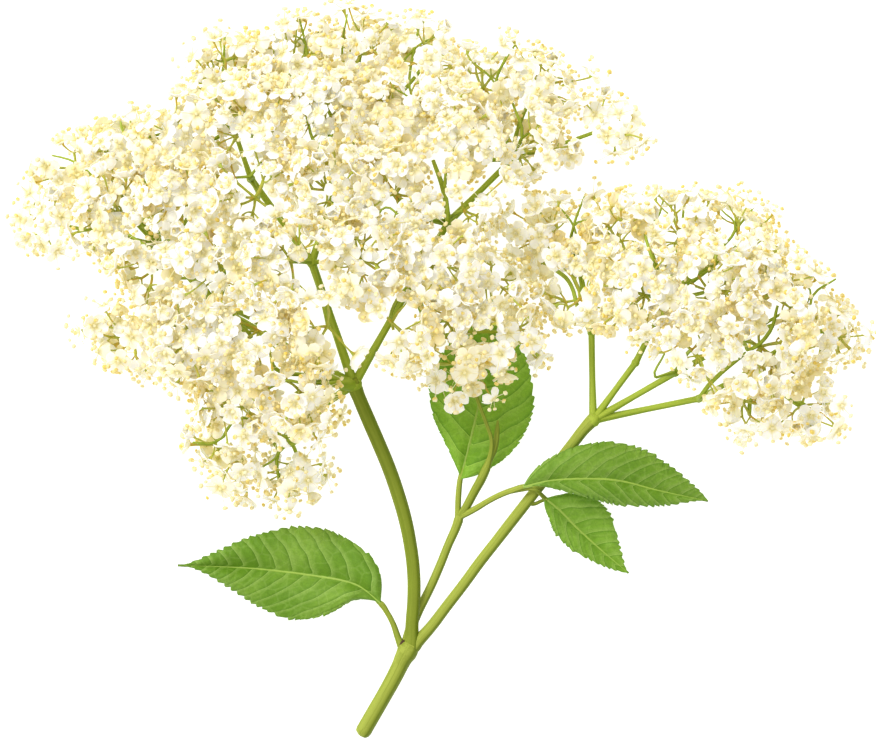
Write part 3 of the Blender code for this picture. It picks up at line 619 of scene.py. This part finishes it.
# Rays that show between the flowers, seen from above, from the tip to the thick end: the
# radius, the height as a share of the dome's, and how far the flowers stand away from it.
# Where there is no radius, no ray is added: one of the forks' rays or the middle leaflet shows.
LARGE_OPEN_RAYS = [
    (None, 0.0, 3.8, [(28.5, 75.75), (29, 63.25)]),
    (None, 0.0, 3.6, [(9.25, 76.75), (10.75, 69.75)]),
    (None, 0.0, 3.4, [(14.75, 78.75), (23.75, 77.25)]),
    (None, 0.6, 3.9, [(-21.75, 84.25), (-17.75, 75.75)]),
    (None, 0.6, 3.7, [(-17.25, 73.75), (-12.25, 63.25)]),
    (None, 0.0, 5.6, [(-14.5, 80.5), (-12, 79.5)]),
    (None, 0.6, 3.8, [(-24, 97.75), (-22.5, 89.5)]),
    (None, 0.6, 4.0, [(-1.25, 86.75), (-8.75, 74.5), (-12.5, 65.25)]),
    (None, 0.7, 3.4, [(22.5, 121.25), (10.75, 106.75)]),
    (0.7, 0.9, 3.2, [(6.25, 122.5), (9, 114.5), (10, 107.25)]),
    (0.45, 0.95, 2.0, [(9.75, 122.5), (9.25, 115.75)]),
    (None, 0.6, 3.2, [(-41.75, 124.5), (-39.25, 118.25), (-33, 110.75)]),
    (None, 0.6, 2.6, [(-44.75, 133.25), (-41.75, 124.5)]),
    (0.4, 1.0, 2.4, [(-44, 118), (-39.25, 118.25)]),
    (0.4, 1.0, 2.2, [(-36.25, 122.25), (-39.25, 118.25)]),
    (0.45, 1.1, 2.6, [(-25.25, 133), (-22.25, 125.75)]),
    (0.45, 1.1, 2.4, [(-18.5, 128.75), (-22.25, 125.75)]),
    (0.35, 1.2, 2.4, [(3.25, 158.25), (1.5, 150.75), (0.25, 142), (0.25, 137)]),
    (0.3, 1.2, 2.0, [(8.25, 154.5), (1.5, 150.75)]),
    (0.3, 1.2, 2.0, [(-3.75, 140.75), (0.25, 137)]),
    (0.35, 1.2, 2.4, [(-46, 154.75), (-46.25, 147), (-46.25, 141.25)]),
    (0.25, 1.2, 2.0, [(-48.75, 148.25), (-46.25, 146.75)]),
    (0.25, 1.2, 2.0, [(-42.75, 148.75), (-46.25, 146.75)]),
    (0.35, 1.2, 2.4, [(-27.25, 158.25), (-25.5, 150.75), (-25, 144.25)]),
    (0.25, 1.2, 2.0, [(-31.75, 155), (-25.75, 151.75)]),
    (0.3, 1.2, 2.2, [(-15.25, 159.5), (-16.5, 151.75)]),
    (0.35, 1.2, 2.4, [(27, 152), (23.75, 147), (22, 141.75)]),
    (0.3, 1.2, 2.0, [(15.25, 148.25), (22, 141.75)]),
    (0.45, 1.1, 2.6, [(26.25, 137), (28.5, 128.25)]),
    (0.35, 1.1, 2.0, [(33.25, 130), (28.5, 128.25)]),
    (0.3, 1.1, 2.2, [(-8, 106.75), (-5.5, 110.5), (-1.75, 108.25)]),
    (0.5, 1.0, 2.6, [(-56.75, 93), (-52.5, 92.75), (-49.25, 89)]),
    (0.4, 1.0, 2.6, [(-43, 85.25), (-37.75, 83.5)]),
    (0.5, 1.0, 2.6, [(-41.75, 82), (-39, 78.5)]),
    (0.55, 1.0, 2.6, [(-34.25, 74.5), (-33, 70.5)]),
    (0.4, 1.1, 2.4, [(-34.75, 65.5), (-30.5, 67.5), (-26.5, 67)]),
    (0.35, 1.2, 2.4, [(-72.5, 133.75), (-69.75, 128.5)]),
    (0.3, 1.2, 2.2, [(-91.25, 124.5), (-83, 122)]),
    (0.4, 1.2, 2.4, [(-83.5, 104.5), (-77.25, 105.25)]),
    (0.45, 1.1, 2.6, [(-70.5, 104.5), (-64.25, 100.75)]),
    (0.45, 1.1, 2.4, [(-71.25, 117), (-70.25, 111.75)]),
    (0.5, 1.3, 2.8, [(-32.25, 41), (-32.5, 49.5), (-26.75, 54)]),
    (0.35, 1.3, 2.2, [(-37, 45.5), (-32.5, 49.5)]),
    (0.4, 1.3, 2.4, [(-54, 52), (-48.5, 52), (-41, 58.25)]),
]
SMALL_OPEN_RAYS = [
    (0.35, 1.2, 2.4, [(44.25, 113.75), (41.5, 106.25), (41, 102.75)]),
    (0.3, 1.2, 2.0, [(47.5, 108), (41.5, 106.25)]),
    (0.3, 1.2, 2.0, [(38.5, 110.5), (41.5, 106.25)]),
    (0.55, 1.0, 2.8, [(32, 97.75), (37.75, 94.75), (40.75, 91.5), (42.75, 85)]),
    (0.35, 1.2, 2.4, [(64.25, 113.5), (62.25, 108.25), (59, 106)]),
    (0.35, 1.2, 2.4, [(69.25, 113.75), (68.5, 106.5)]),
    (0.45, 1.1, 2.4, [(58.75, 106.25), (61, 97.75)]),
    (0.35, 1.2, 2.4, [(86.75, 111), (82, 105.25), (80.25, 102.75)]),
    (0.3, 1.2, 2.0, [(78.5, 110.5), (81.75, 105.25)]),
    (0.35, 1.2, 2.4, [(107.25, 93), (101.25, 88.75), (100, 85.25)]),
    (0.3, 1.2, 2.0, [(97, 93.5), (100.75, 88.75)]),
    (0.5, 1.1, 2.6, [(92.25, 86.25), (90.25, 79.75), (85.25, 75.25)]),
    (0.6, 0.9, 2.8, [(84.5, 74.5), (76.25, 67.5), (73.25, 63.5)]),
    (0.45, 1.1, 2.6, [(93, 64.5), (99.75, 60.75)]),
    (0.4, 1.1, 2.4, [(86, 63.75), (85.5, 59)]),
    (0.4, 1.1, 2.4, [(77.5, 97.25), (70.5, 93)]),
    (0.35, 1.0, 2.4, [(64, 74.25), (61.75, 68.5)]),
    (0.35, 1.1, 2.2, [(101.25, 79.5), (106, 78.75)]),
]

# A head is a low dome: its middle in plan, its half lengths, and the heights of its hubs at
# the rim and at the top.
LARGE_DOME = ((-20.0, 99.0), (71.0, 53.0), 9.5, 38.0)
SMALL_DOME = ((70.0, 85.0), (37.0, 26.0), 9.5, 29.0)
# The sprays face away from a place under the middle of their head, at this height.
DOME_ROOT_HEIGHT = -10.0
# How high the forks stand, as a share of the dome's height, and how far their rays hang down.
RAY_LEVEL = 0.6
RAY_SAG = 0.06
KNOT_SWELL = 1.15
# The last rays' radius at the fork, behind it, half way, under the hub and in it.
LAST_RAY_RADII = (0.7, 0.62, 0.52, 0.46, 0.6)
LARGE_STALK_END = 16.0
SMALL_STALK_END = 12.0


def dome_height(dome, place):
    """The height of a hub that stands at this place in the head."""
    middle, half_lengths, rim_height, top_height = dome
    away = ((place[0] - middle[0]) / half_lengths[0]) ** 2 + ((place[1] - middle[1]) / half_lengths[1]) ** 2
    return rim_height + (top_height - rim_height) * max(0.0, 1 - away)


def unit(vector):
    return vector / np.linalg.norm(vector)


def hubs_of(places, dome):
    """Each hub's middle, and the way its spray faces: out from the head's root."""
    middles = np.array([(*place, dome_height(dome, place)) for place in places])
    root = np.array([*dome[0], DOME_ROOT_HEIGHT])
    return [(middle, unit(middle - root)) for middle in middles]


RAY_SKIN = make_stalk_skin("ray_skin", seen(176, 198, 76), seen(154, 164, 52), seen(128, 154, 32))


def nearest_fork(places, spot):
    return min(places.values(), key=lambda fork: np.linalg.norm(fork[:3] - spot))


def make_rays(name, forks, base_height, dome, hubs, open_rays):
    """From fork to fork, from the nearest fork to each hub, and those that show."""
    places = {}
    for fork_name, (x, y, parent, radius) in forks.items():
        height = base_height if parent is None else RAY_LEVEL * dome_height(dome, (x, y))
        places[fork_name] = np.array([x, y, height, radius])
    lines = []
    for fork_name, (_, _, parent, _) in forks.items():
        if parent is None:
            continue
        start = places[parent] * (1, 1, 1, 0.8)
        end = places[fork_name]
        bow = (start + end) / 2
        bow[2] -= RAY_SAG * np.linalg.norm((end - start)[:3])
        foot = 0.93 * start + 0.07 * bow
        neck = 0.93 * end + 0.07 * bow
        foot[3] = 1.1 * end[3]
        bow[3] = 0.82 * end[3]
        neck[3] = 0.86 * end[3]
        lines.append([start, foot, bow, neck, end * (1, 1, 1, 1.12)])
    for middle, facing in hubs:
        start = nearest_fork(places, middle)[:3]
        bend = (start + middle) / 2 - facing * 3
        foot = 0.88 * start + 0.12 * bend
        places_on = (start, foot, bend, middle - 1.2 * facing, middle)
        lines.append([(*place, radius) for place, radius in zip(places_on, LAST_RAY_RADII)])
    for radius, level, _, points in open_rays:
        if radius:
            seen_part = np.array([(*point, level * dome_height(dome, point)) for point in points])
            nearest = nearest_fork(places, seen_part[-1])
            tip = (*seen_part[0], 0.7 * radius)
            bend = 0.6 * seen_part[-1] + 0.4 * nearest[:3] + (0, 0, 1.0)
            lines.append([tip, *[(*place, radius) for place in seen_part[1:]], (*bend, radius), nearest])
    pieces = [sweep_stalks(name, lines, RAY_SKIN, sides=8, steps=4)]
    for x, y, z, radius in places.values():
        bpy.ops.mesh.primitive_ico_sphere_add(subdivisions=2, radius=KNOT_SWELL * radius * MM)
        knot = bpy.context.object
        knot.data.transform(Matrix.Translation(at((x, y, z))))
        knot.data.materials.append(RAY_SKIN)
        knot.data.shade_smooth()
        pieces.append(knot)
    rays = join_pieces(name, pieces)
    set_values(rays, "olive", 0.25)
    keep_facing(rays)
    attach(rays, "root")
    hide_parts("stem")


large_hubs = hubs_of(LARGE_HUBS, LARGE_DOME)
small_hubs = hubs_of(SMALL_HUBS, SMALL_DOME)
make_rays("rays_main", LARGE_FORKS, LARGE_STALK_END, LARGE_DOME, large_hubs, LARGE_OPEN_RAYS)
make_rays("rays_side", SMALL_FORKS, SMALL_STALK_END, SMALL_DOME, small_hubs, SMALL_OPEN_RAYS)


# One flower: five round petals on a short throat, five threads that each hold out a pale
# yellow anther, a small pistil, and a green calyx. It is modelled a few times, more and less
# open, and each of the sprays' flowers is a copy.
PETAL_LENGTH = 3.2
PETAL_HALF_WIDTH = 1.55
PETAL_THICKNESS = 0.22
# A painted glow: the petals give off light in their own colour, which stands in for the light that a thin
# petal lets through.
PETAL_GLOW = 0.075
THROAT = 0.42
# For each row of points across the petal: how far out it lies, and its half width.
PETAL_ROWS = ((0.0, 0.26), (0.28, 0.76), (0.6, 1.0), (0.86, 0.86), (1.0, 0.42))
# How far the petals open from the flower's axis and bend back at their tips, in degrees, how
# deep they are cupped, and how far out the threads reach and lean.
FLOWER_FORMS = {
    "flat": (88, 14, 0.35, 2.5, 46),
    "bent_back": (104, 30, 0.3, 2.8, 58),
    "dished": (72, -8, 0.5, 2.4, 38),
    "half_open": (46, -30, 0.6, 2.2, 24),
    "spent": (122, 30, -0.3, 2.6, 66),
    "long_threads": (84, 18, 0.4, 4.3, 56),
}


def make_petal_skin():
    made, tree, shader = new_material("petal", {
        "Roughness": 0.55, "Emission Strength": PETAL_GLOW, "Subsurface Weight": 0.25,
        "Subsurface Radius": (1.0, 0.85, 0.4), "Subsurface Scale": 0.0008,
    })
    tint = kept_value(tree, "tint")
    # The tint is partly random and partly painted shade: flowers deep under their neighbours are painted
    # cream and yellow.
    fresh, cream, aged_and_shaded = seen(255, 255, 250), seen(250, 242, 208), seen(230, 199, 110)
    warm = blend_colours(tree, spread_value(tree, tint, 0.1, 0.6), fresh, cream)
    warm = blend_colours(tree, spread_value(tree, tint, 0.55, 1.0), warm, aged_and_shaded)
    throat = spread_value(tree, kept_value(tree, "reach"), 0.42, 0.0, 0.0, 0.75)
    whole = blend_colours(tree, throat, warm, seen(232, 216, 120))
    tissue = add_tissue(tree, shader, whole, 500.0, 0.14, 2500.0, 0.08)
    # Painted glow: the petals give off light in their own colour.
    tree.links.new(tissue["Colour"], shader.inputs["Emission Color"])
    add_bump(tree, shader, tissue["Height"], 0.2)
    return made


def make_plain_skin(name, colour, other, roughness):
    """A skin that goes from one colour to the other in patches, and with the flower's tint, which is partly
    painted shade.
    """
    made, tree, shader = new_material(name, {"Roughness": roughness})
    tint = kept_value(tree, "tint")
    place = add_node(tree, "TexCoord").outputs["Object"]
    patch = spread_value(tree, add_noise(tree, place, 420.0, 1.0), 0.45, 0.7)
    whole = blend_colours(tree, work_out(tree, "MAXIMUM", patch, tint), colour, other)
    tissue = add_tissue(tree, shader, whole, 900.0, 0.2, 5000.0, 0.3)
    add_bump(tree, shader, tissue["Height"], 0.3, distance=0.0001)
    return made


PETAL_SKIN = make_petal_skin()
ANTHER_SKIN = make_plain_skin("anther", seen(255, 248, 208), seen(244, 216, 104), 0.6)
THREAD_SKIN = make_plain_skin("thread", seen(246, 240, 205), seen(232, 224, 160), 0.5)
CALYX_SKIN = make_plain_skin("calyx", seen(176, 192, 72), seen(206, 176, 62), 0.5)
# The calyx under the petals and the pistil over them: the radius at the foot and at the top,
# the length, and the height of its middle.
FLOWER_CONES = ((0.3, 0.62, 1.3, -0.6, CALYX_SKIN), (0.62, 0.3, 1.1, 0.4, THREAD_SKIN))


def shape_points(piece, points):
    piece.data.vertices.foreach_set("co", np.asarray(points, float).ravel() * MM)


def make_petal(opening, bend, cup):
    """One petal: a small grid, rounded, cupped and bent, then given its thickness."""
    bpy.ops.mesh.primitive_grid_add(x_subdivisions=2, y_subdivisions=len(PETAL_ROWS) - 1, size=2)
    petal = bpy.context.object
    grid = points_of(petal)
    rows = np.rint((grid[:, 1] + 1) * (len(PETAL_ROWS) - 1) / 2).astype(int)
    out, half = np.array(PETAL_ROWS)[rows].T
    out = out - 0.06 * (rows == rows.max()) * np.abs(grid[:, 0])
    away = PETAL_LENGTH * out
    across = PETAL_HALF_WIDTH * half * grid[:, 0]
    turn = math.radians(90 - opening) - math.radians(bend) * out
    points = np.stack([across, THROAT + away * np.cos(turn), away * np.sin(turn)], axis=1)
    points[:, 2] += cup * np.abs(grid[:, 0]) * np.minimum(half, 0.9) * (0.4 + 0.6 * out)
    shape_points(petal, points)
    set_values(petal, "reach", out)
    make_solid(petal, PETAL_THICKNESS, 0, PETAL_SKIN, 60)
    return petal


def make_thread(reach, lean):
    """A thread that leans out from the throat, with a two-lobed anther on its end."""
    lean = math.radians(lean)
    bpy.ops.mesh.primitive_cone_add(vertices=3, radius1=0.12 * MM, radius2=0.07 * MM, depth=reach * MM)
    thread = bpy.context.object
    thread.data.transform(Matrix.Translation((0, 0, reach * MM / 2)))
    thread.data.materials.append(THREAD_SKIN)
    bpy.ops.mesh.primitive_ico_sphere_add(subdivisions=1, radius=0.6 * MM)
    anther = bpy.context.object
    points = points_of(anther) / MM
    points[:, 0] *= 1.25
    points[:, 2] *= 1.0 - 0.25 * (np.abs(points[:, 0]) < 0.2)
    shape_points(anther, points)
    anther.data.transform(Matrix.Translation((0, 0, (reach + 0.25) * MM)))
    anther.data.materials.append(ANTHER_SKIN)
    anther.data.shade_smooth()
    whole = join_pieces("thread", [thread, anther])
    whole.data.transform(Matrix.Translation((0, 0.3 * MM, 0)) @ Matrix.Rotation(-lean, 4, "X"))
    return whole


def copy_of(model):
    """A copy with a mesh of its own."""
    made = model.copy()
    made.data = model.data.copy()
    bpy.context.scene.collection.objects.link(made)
    return made


def make_flower(name, opening, bend, cup, reach, lean):
    petal = make_petal(opening, bend, cup)
    thread = make_thread(reach, lean)
    pieces = []
    for index in range(5):
        for model, offset in ((petal, 0.0), (thread, 0.5)):
            copy = copy_of(model)
            astray = math.radians((0, 7, -6, 4, -8)[index])
            size = (1.0, 1.16, 0.82, 1.06, 0.9)[index] if offset else 1.0
            nod = math.radians((3, -6, 5, -3, 7)[index])
            turn = (index + offset) * 2 * math.pi / 5 + astray
            tilt = Matrix.Rotation(nod, 4, "X") @ Matrix.Scale(size, 4)
            copy.data.transform(Matrix.Rotation(turn, 4, "Z") @ tilt)
            pieces.append(copy)
    bpy.data.objects.remove(petal)
    bpy.data.objects.remove(thread)
    for foot, top, depth, height, skin in FLOWER_CONES:
        bpy.ops.mesh.primitive_cone_add(vertices=5, radius1=foot * MM, radius2=top * MM, depth=depth * MM)
        cone = bpy.context.object
        cone.data.transform(Matrix.Translation((0, 0, height * MM)))
        cone.data.materials.append(skin)
        cone.data.set_sharp_from_angle(angle=math.radians(60))
        pieces.append(cone)
    return join_pieces(name, pieces)


flower_models = [make_flower(name, *form) for name, form in FLOWER_FORMS.items()]


# The sprays: from each hub short twigs part, and each twig ends in three or four flowers.
# They stand all round the side of the hub that faces out, at uneven heights.
FLOWER_RADIUS = 3.4
FLOWER_SPACING = 4.6
# Nearer than this to the head's outline, the flowers stand looser.
RIM_DEPTH = 9.0
RIM_SPACING = 5.7
FLOWER_DISTANCES = (7.0, 8.4, 9.8, 11.4, 13.2)
MOST_OVER_HUB = 9.3
SPRAY_SPREAD = math.radians(98)
TRIALS_PER_SPRAY = 2200
# How much of a flower's radius lies inside the outline.
OUTLINE_SHARE = 0.75
# The lowest that a flower's rim comes, over the middle leaflet and elsewhere.
LEAF_TOP_UNDER_FLOWERS = 7.6
LOWEST_RIM = 3.3
# A drawn ray's ends are covered by the flowers round them, by this share or length at most.
COVERED_SHARE = 0.35
COVERED_END = 2.0
OPEN_RAY_DEPTH = 3.0
# A flower is hidden by this many that stand this near to it in plan and this much higher.
HIDING_COUNT = 3
HIDING_REACH = 4.2
HIDING_HEIGHT = 1.5
FLOWERS_PER_TWIG = 3.6
FORM_SHARES = (0.28, 0.18, 0.18, 0.1, 0.08, 0.18)
DEEPEST_TINT = 0.72
SEED = 5

# Each head's outline, seen from above.
LARGE_OUTLINE = [
    (-101.5, 109), (-93, 126), (-84, 131), (-71, 137), (-62, 135), (-59, 145), (-52, 154),
    (-43, 156), (-27, 160), (-15, 163), (3, 160), (9, 158), (13, 152), (28, 155),
    (41, 149), (54, 140), (62, 129), (58, 125), (45, 121), (34, 120), (23, 114),
    (22, 105), (27, 99), (32, 91), (35, 81), (35, 70), (26, 65), (16, 57),
    (8, 60), (-4, 68), (-13, 71), (-15, 58), (-18, 43), (-28, 31), (-41, 35),
    (-53, 42), (-57, 54), (-53, 63), (-66, 66), (-84, 76), (-83, 84), (-70, 90),
    (-76, 95), (-88, 95), (-98, 97),
]
SMALL_OUTLINE = [
    (22, 107), (26, 114), (38, 116), (53, 116), (68, 117), (83, 116), (93, 110), (97, 101),
    (104, 97), (112, 88), (118, 76), (111, 71), (105, 70), (111, 63), (111, 52), (98, 50),
    (86, 52), (79, 56), (73, 63), (67, 68), (58, 72), (47, 76), (37, 79), (31, 86), (24, 97),
]


def inside(outline, points):
    """Which points lie inside the outline, by counting the edges that a line from each one meets."""
    crossings = np.zeros(len(points), int)
    for (x1, y1), (x2, y2) in zip(outline, outline[1:] + outline[:1]):
        spans = (points[:, 1] < y1) != (points[:, 1] < y2)
        if y1 != y2:
            meets = x1 + (points[:, 1] - y1) * (x2 - x1) / (y2 - y1)
            crossings += spans & (points[:, 0] < meets)
    return crossings % 2 == 1


def all_inside(outline, rings):
    """Which rings of points lie wholly inside the outline."""
    return inside(outline, rings.reshape(-1, 3)).reshape(len(rings), -1).all(axis=1)


def even_directions(count):
    """Directions spread evenly over a ball, along a spiral."""
    index = np.arange(count) + 0.5
    height = 1 - 2 * index / count
    turn = index * math.pi * (3 - math.sqrt(5))
    level = np.sqrt(1 - height**2)
    return np.stack([level * np.cos(turn), level * np.sin(turn), height], axis=1)


def rim_of(centres, normals, count):
    """Points round the rim of each flower."""
    across = np.cross(normals, [0.31, 0.17, 0.94])
    across /= np.linalg.norm(across, axis=1, keepdims=True)
    other = np.cross(normals, across)
    turns = np.arange(count) * 2 * math.pi / count
    level = across[:, None] * np.cos(turns)[:, None] + other[:, None] * np.sin(turns)[:, None]
    return centres[:, None] + FLOWER_RADIUS * level


def over_middle_leaf(points):
    across, along = points[..., 0], points[..., 1]
    return (across > 1) & (across < 36) & (along > 41) & (along < 90)


def over_open_ray(centres):
    """Which flowers would hide a ray that shows between the sprays."""
    hides = np.zeros(len(centres), bool)
    for dome, open_rays in ((LARGE_DOME, LARGE_OPEN_RAYS), (SMALL_DOME, SMALL_OPEN_RAYS)):
        for _, level, width, points in open_rays:
            for index, (start, end) in enumerate(zip(points, points[1:])):
                along = np.subtract(end, start)
                covered = min(COVERED_SHARE, COVERED_END / np.linalg.norm(along)) * along
                start = start + covered * (index == 0)
                along = along - covered * ((index == 0) + (index == len(points) - 2))
                share = np.clip((centres[:, :2] - start) @ along / (along @ along), 0, 1)
                away = np.linalg.norm(centres[:, :2] - start - share[:, None] * along, axis=1)
                lowest = level * dome_height(dome, start) - OPEN_RAY_DEPTH
                hides |= (away < width) & (centres[:, 2] > lowest)
    return hides


def flower_places(sprays, draws):
    """Where flowers stand: (spray, centre, normal), evenly over all the sprays at once."""
    directions = even_directions(TRIALS_PER_SPRAY)
    middles = np.array([spray[0] for spray in sprays])
    found = []
    for index, (middle, facing, outline) in enumerate(sprays):
        outward = directions[directions @ facing > math.cos(SPRAY_SPREAD)]
        distance = draws.choice(FLOWER_DISTANCES, len(outward))[:, None]
        places = middle + distance * outward
        others = np.delete(middles, index, axis=0)
        free = np.linalg.norm(places[:, None] - others, axis=2).min(axis=1) > distance[:, 0] - 0.4
        facings = outward + 0.4 * draws.normal(size=outward.shape) + (0, 0, 0.2)
        facings /= np.linalg.norm(facings, axis=1, keepdims=True)
        rims = rim_of(places, facings, 12)
        spokes = rims - places[:, None]
        floor = np.where(over_middle_leaf(rims), LEAF_TOP_UNDER_FLOWERS, LOWEST_RIM)
        free &= (rims[..., 2] > floor).all(axis=1)
        free &= distance[:, 0] * outward[:, 2] < MOST_OVER_HUB
        free &= ~over_open_ray(places)
        free &= all_inside(outline, places[:, None] + OUTLINE_SHARE * spokes)
        deep = all_inside(outline, places[:, None] + RIM_DEPTH / FLOWER_RADIUS * spokes)
        spacing = np.where(deep, FLOWER_SPACING, RIM_SPACING)
        found.append((np.full(free.sum(), index), places[free], facings[free], spacing[free]))
    owners, centres, normals, spacings = (np.concatenate(column) for column in zip(*found))
    nearest = np.full(len(centres), np.inf)
    second = np.full(len(centres), np.inf)
    chosen = []
    while (nearest > spacings).any():
        score = np.where(nearest > spacings, nearest + np.minimum(second, 60), np.inf)
        pick = np.argmin(score.round(6))
        chosen.append(pick)
        distance = np.linalg.norm(centres - centres[pick], axis=1)
        second = np.minimum(second, np.maximum(nearest, distance))
        nearest = np.minimum(nearest, distance)
    return [(owners[pick], centres[pick], normals[pick]) for pick in chosen]


def hidden_shares(centres):
    """How deep each flower sits under its neighbours, for painted shade: the deep ones are painted
    yellower.
    """
    apart = centres[:, None] - centres
    near = np.hypot(apart[..., 0], apart[..., 1]) < HIDING_REACH
    above = near & (apart[..., 2] < -HIDING_HEIGHT)
    return np.clip(above.sum(axis=1) / HIDING_COUNT, 0, 1)


def share_out(centres, count):
    """Puts neighbouring flowers together on twigs: which twig each flower stands on."""
    seeds = [0]
    while len(seeds) < count:
        apart = np.linalg.norm(centres[:, None] - centres[seeds], axis=2).min(axis=1)
        seeds.append(int(np.argmax(apart)))
    return np.argmin(np.linalg.norm(centres[:, None] - centres[seeds], axis=2), axis=1)


def make_spray(name, node, middle, facing, flowers, draws):
    centres = np.array([flower[0] for flower in flowers])
    normals = np.array([flower[1] for flower in flowers])
    twigs = share_out(centres, max(1, math.ceil(len(flowers) / FLOWERS_PER_TWIG)))
    lines = []
    for twig in range(twigs.max() + 1):
        own = centres[twigs == twig]
        end = middle + 0.52 * (own.mean(axis=0) - middle)
        lines.append([(*middle, 0.42), (*(0.5 * (middle + end) - 0.4 * facing), 0.32), (*end, 0.36)])
        for centre, normal in zip(own, normals[twigs == twig]):
            foot = centre - 1.1 * normal
            bend = 0.45 * end + 0.55 * foot - 0.5 * normal
            lines.append([(*end, 0.3), (*bend, 0.19), (*foot, 0.26)])
    pieces = [sweep_stalks(name, lines, CALYX_SKIN, sides=4, steps=2)]
    set_values(pieces[0], "tint", 0.2)
    for centre, normal, hidden in flowers:
        model = flower_models[draws.choice(len(flower_models), p=FORM_SHARES)]
        flower = copy_of(model)
        turn = Vector(normal).to_track_quat("Z", "Y").to_matrix().to_4x4()
        spin = Matrix.Rotation(draws.uniform(0, 2 * math.pi), 4, "Z")
        size = Matrix.Scale(draws.uniform(0.9, 1.06), 4)
        place = Matrix.Translation(at(centre))
        flower.data.transform(place @ turn @ spin @ size)
        # The tint is partly random, and partly painted shade for the flowers that sit deep under their
        # neighbours.
        set_values(flower, "tint", min(DEEPEST_TINT, 0.5 * draws.uniform() ** 3 + 0.5 * hidden))
        pieces.append(flower)
    spray = join_pieces(name, pieces)
    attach(spray, "root")
    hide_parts(node)


sprays = {}
for head, hubs, outline in (("main", large_hubs, LARGE_OUTLINE), ("side", small_hubs, SMALL_OUTLINE)):
    for number, hub in enumerate(hubs, 1):
        sprays[f"spray_{head}_{number:02d}"] = (*hub, outline)
sprays["spray_low"] = (np.array(LOW_HUB), unit(np.array(LOW_FACING)), LARGE_OUTLINE)
draws = np.random.default_rng(SEED)
standing = flower_places(list(sprays.values()), draws)
hidden = hidden_shares(np.array([centre for _, centre, _ in standing]))
for index, (node, (middle, facing, _)) in enumerate(sprays.items()):
    own_flowers = [(*flower[1:], depth) for flower, depth in zip(standing, hidden) if flower[0] == index]
    make_spray(node + "_flowers", node, middle, facing, own_flowers, draws)
for model in flower_models:
    bpy.data.objects.remove(model)


# The setting: a white surface, the light of a bright room with a soft lamp from the upper
# left, and the camera straight above the sprig.
FLOOR_GLOW = 0.85
ROOM_COLOUR = (1.0, 0.968, 0.885, 1)
ROOM_LIGHT = 0.8
LAMP_LIGHT = 1.75
LAMP_SOFTNESS = math.radians(25)
bpy.ops.mesh.primitive_plane_add(size=6.0)
floor = bpy.context.object
floor.name = "floor"
floor_skin, _, _ = new_material("floor_white", {
    "Roughness": 0.9, "Base Color": seen(200, 200, 200), "Emission Color": (1, 1, 1, 1),
    "Emission Strength": FLOOR_GLOW,
})
floor.data.materials.append(floor_skin)

world = bpy.data.worlds.new("room")
world.use_nodes = True
background = world.node_tree.nodes["Background"].inputs
background["Color"].default_value = ROOM_COLOUR
background["Strength"].default_value = ROOM_LIGHT
bpy.context.scene.world = world
bpy.context.scene.view_settings.view_transform = "Standard"

lamp_data = bpy.data.lights.new("lamp", "SUN")
lamp_data.energy = LAMP_LIGHT
lamp_data.angle = LAMP_SOFTNESS
lamp = add_object("lamp", lamp_data)
lamp.location = (-1.0, 0.8, 1.3)
lamp.rotation_euler = (-lamp.location).to_track_quat("-Z", "Y").to_euler()

CAMERA_HEIGHT = 2.5
SENSOR_WIDTH = 36
# The heads' middle height, at which the view is this wide.
VIEW_HEIGHT = 0.02
VIEW_WIDTH = 0.219
VIEW_MIDDLE = (0.0002, 0.0003)
camera_data = bpy.data.cameras.new("camera")
camera_data.sensor_width = SENSOR_WIDTH
camera_data.lens = SENSOR_WIDTH * (CAMERA_HEIGHT - VIEW_HEIGHT) / VIEW_WIDTH
camera_data.clip_end = 20
camera = add_object("camera", camera_data)
camera.location = (*VIEW_MIDDLE, CAMERA_HEIGHT)
bpy.context.scene.camera = camera

bpy.context.view_layer.update()
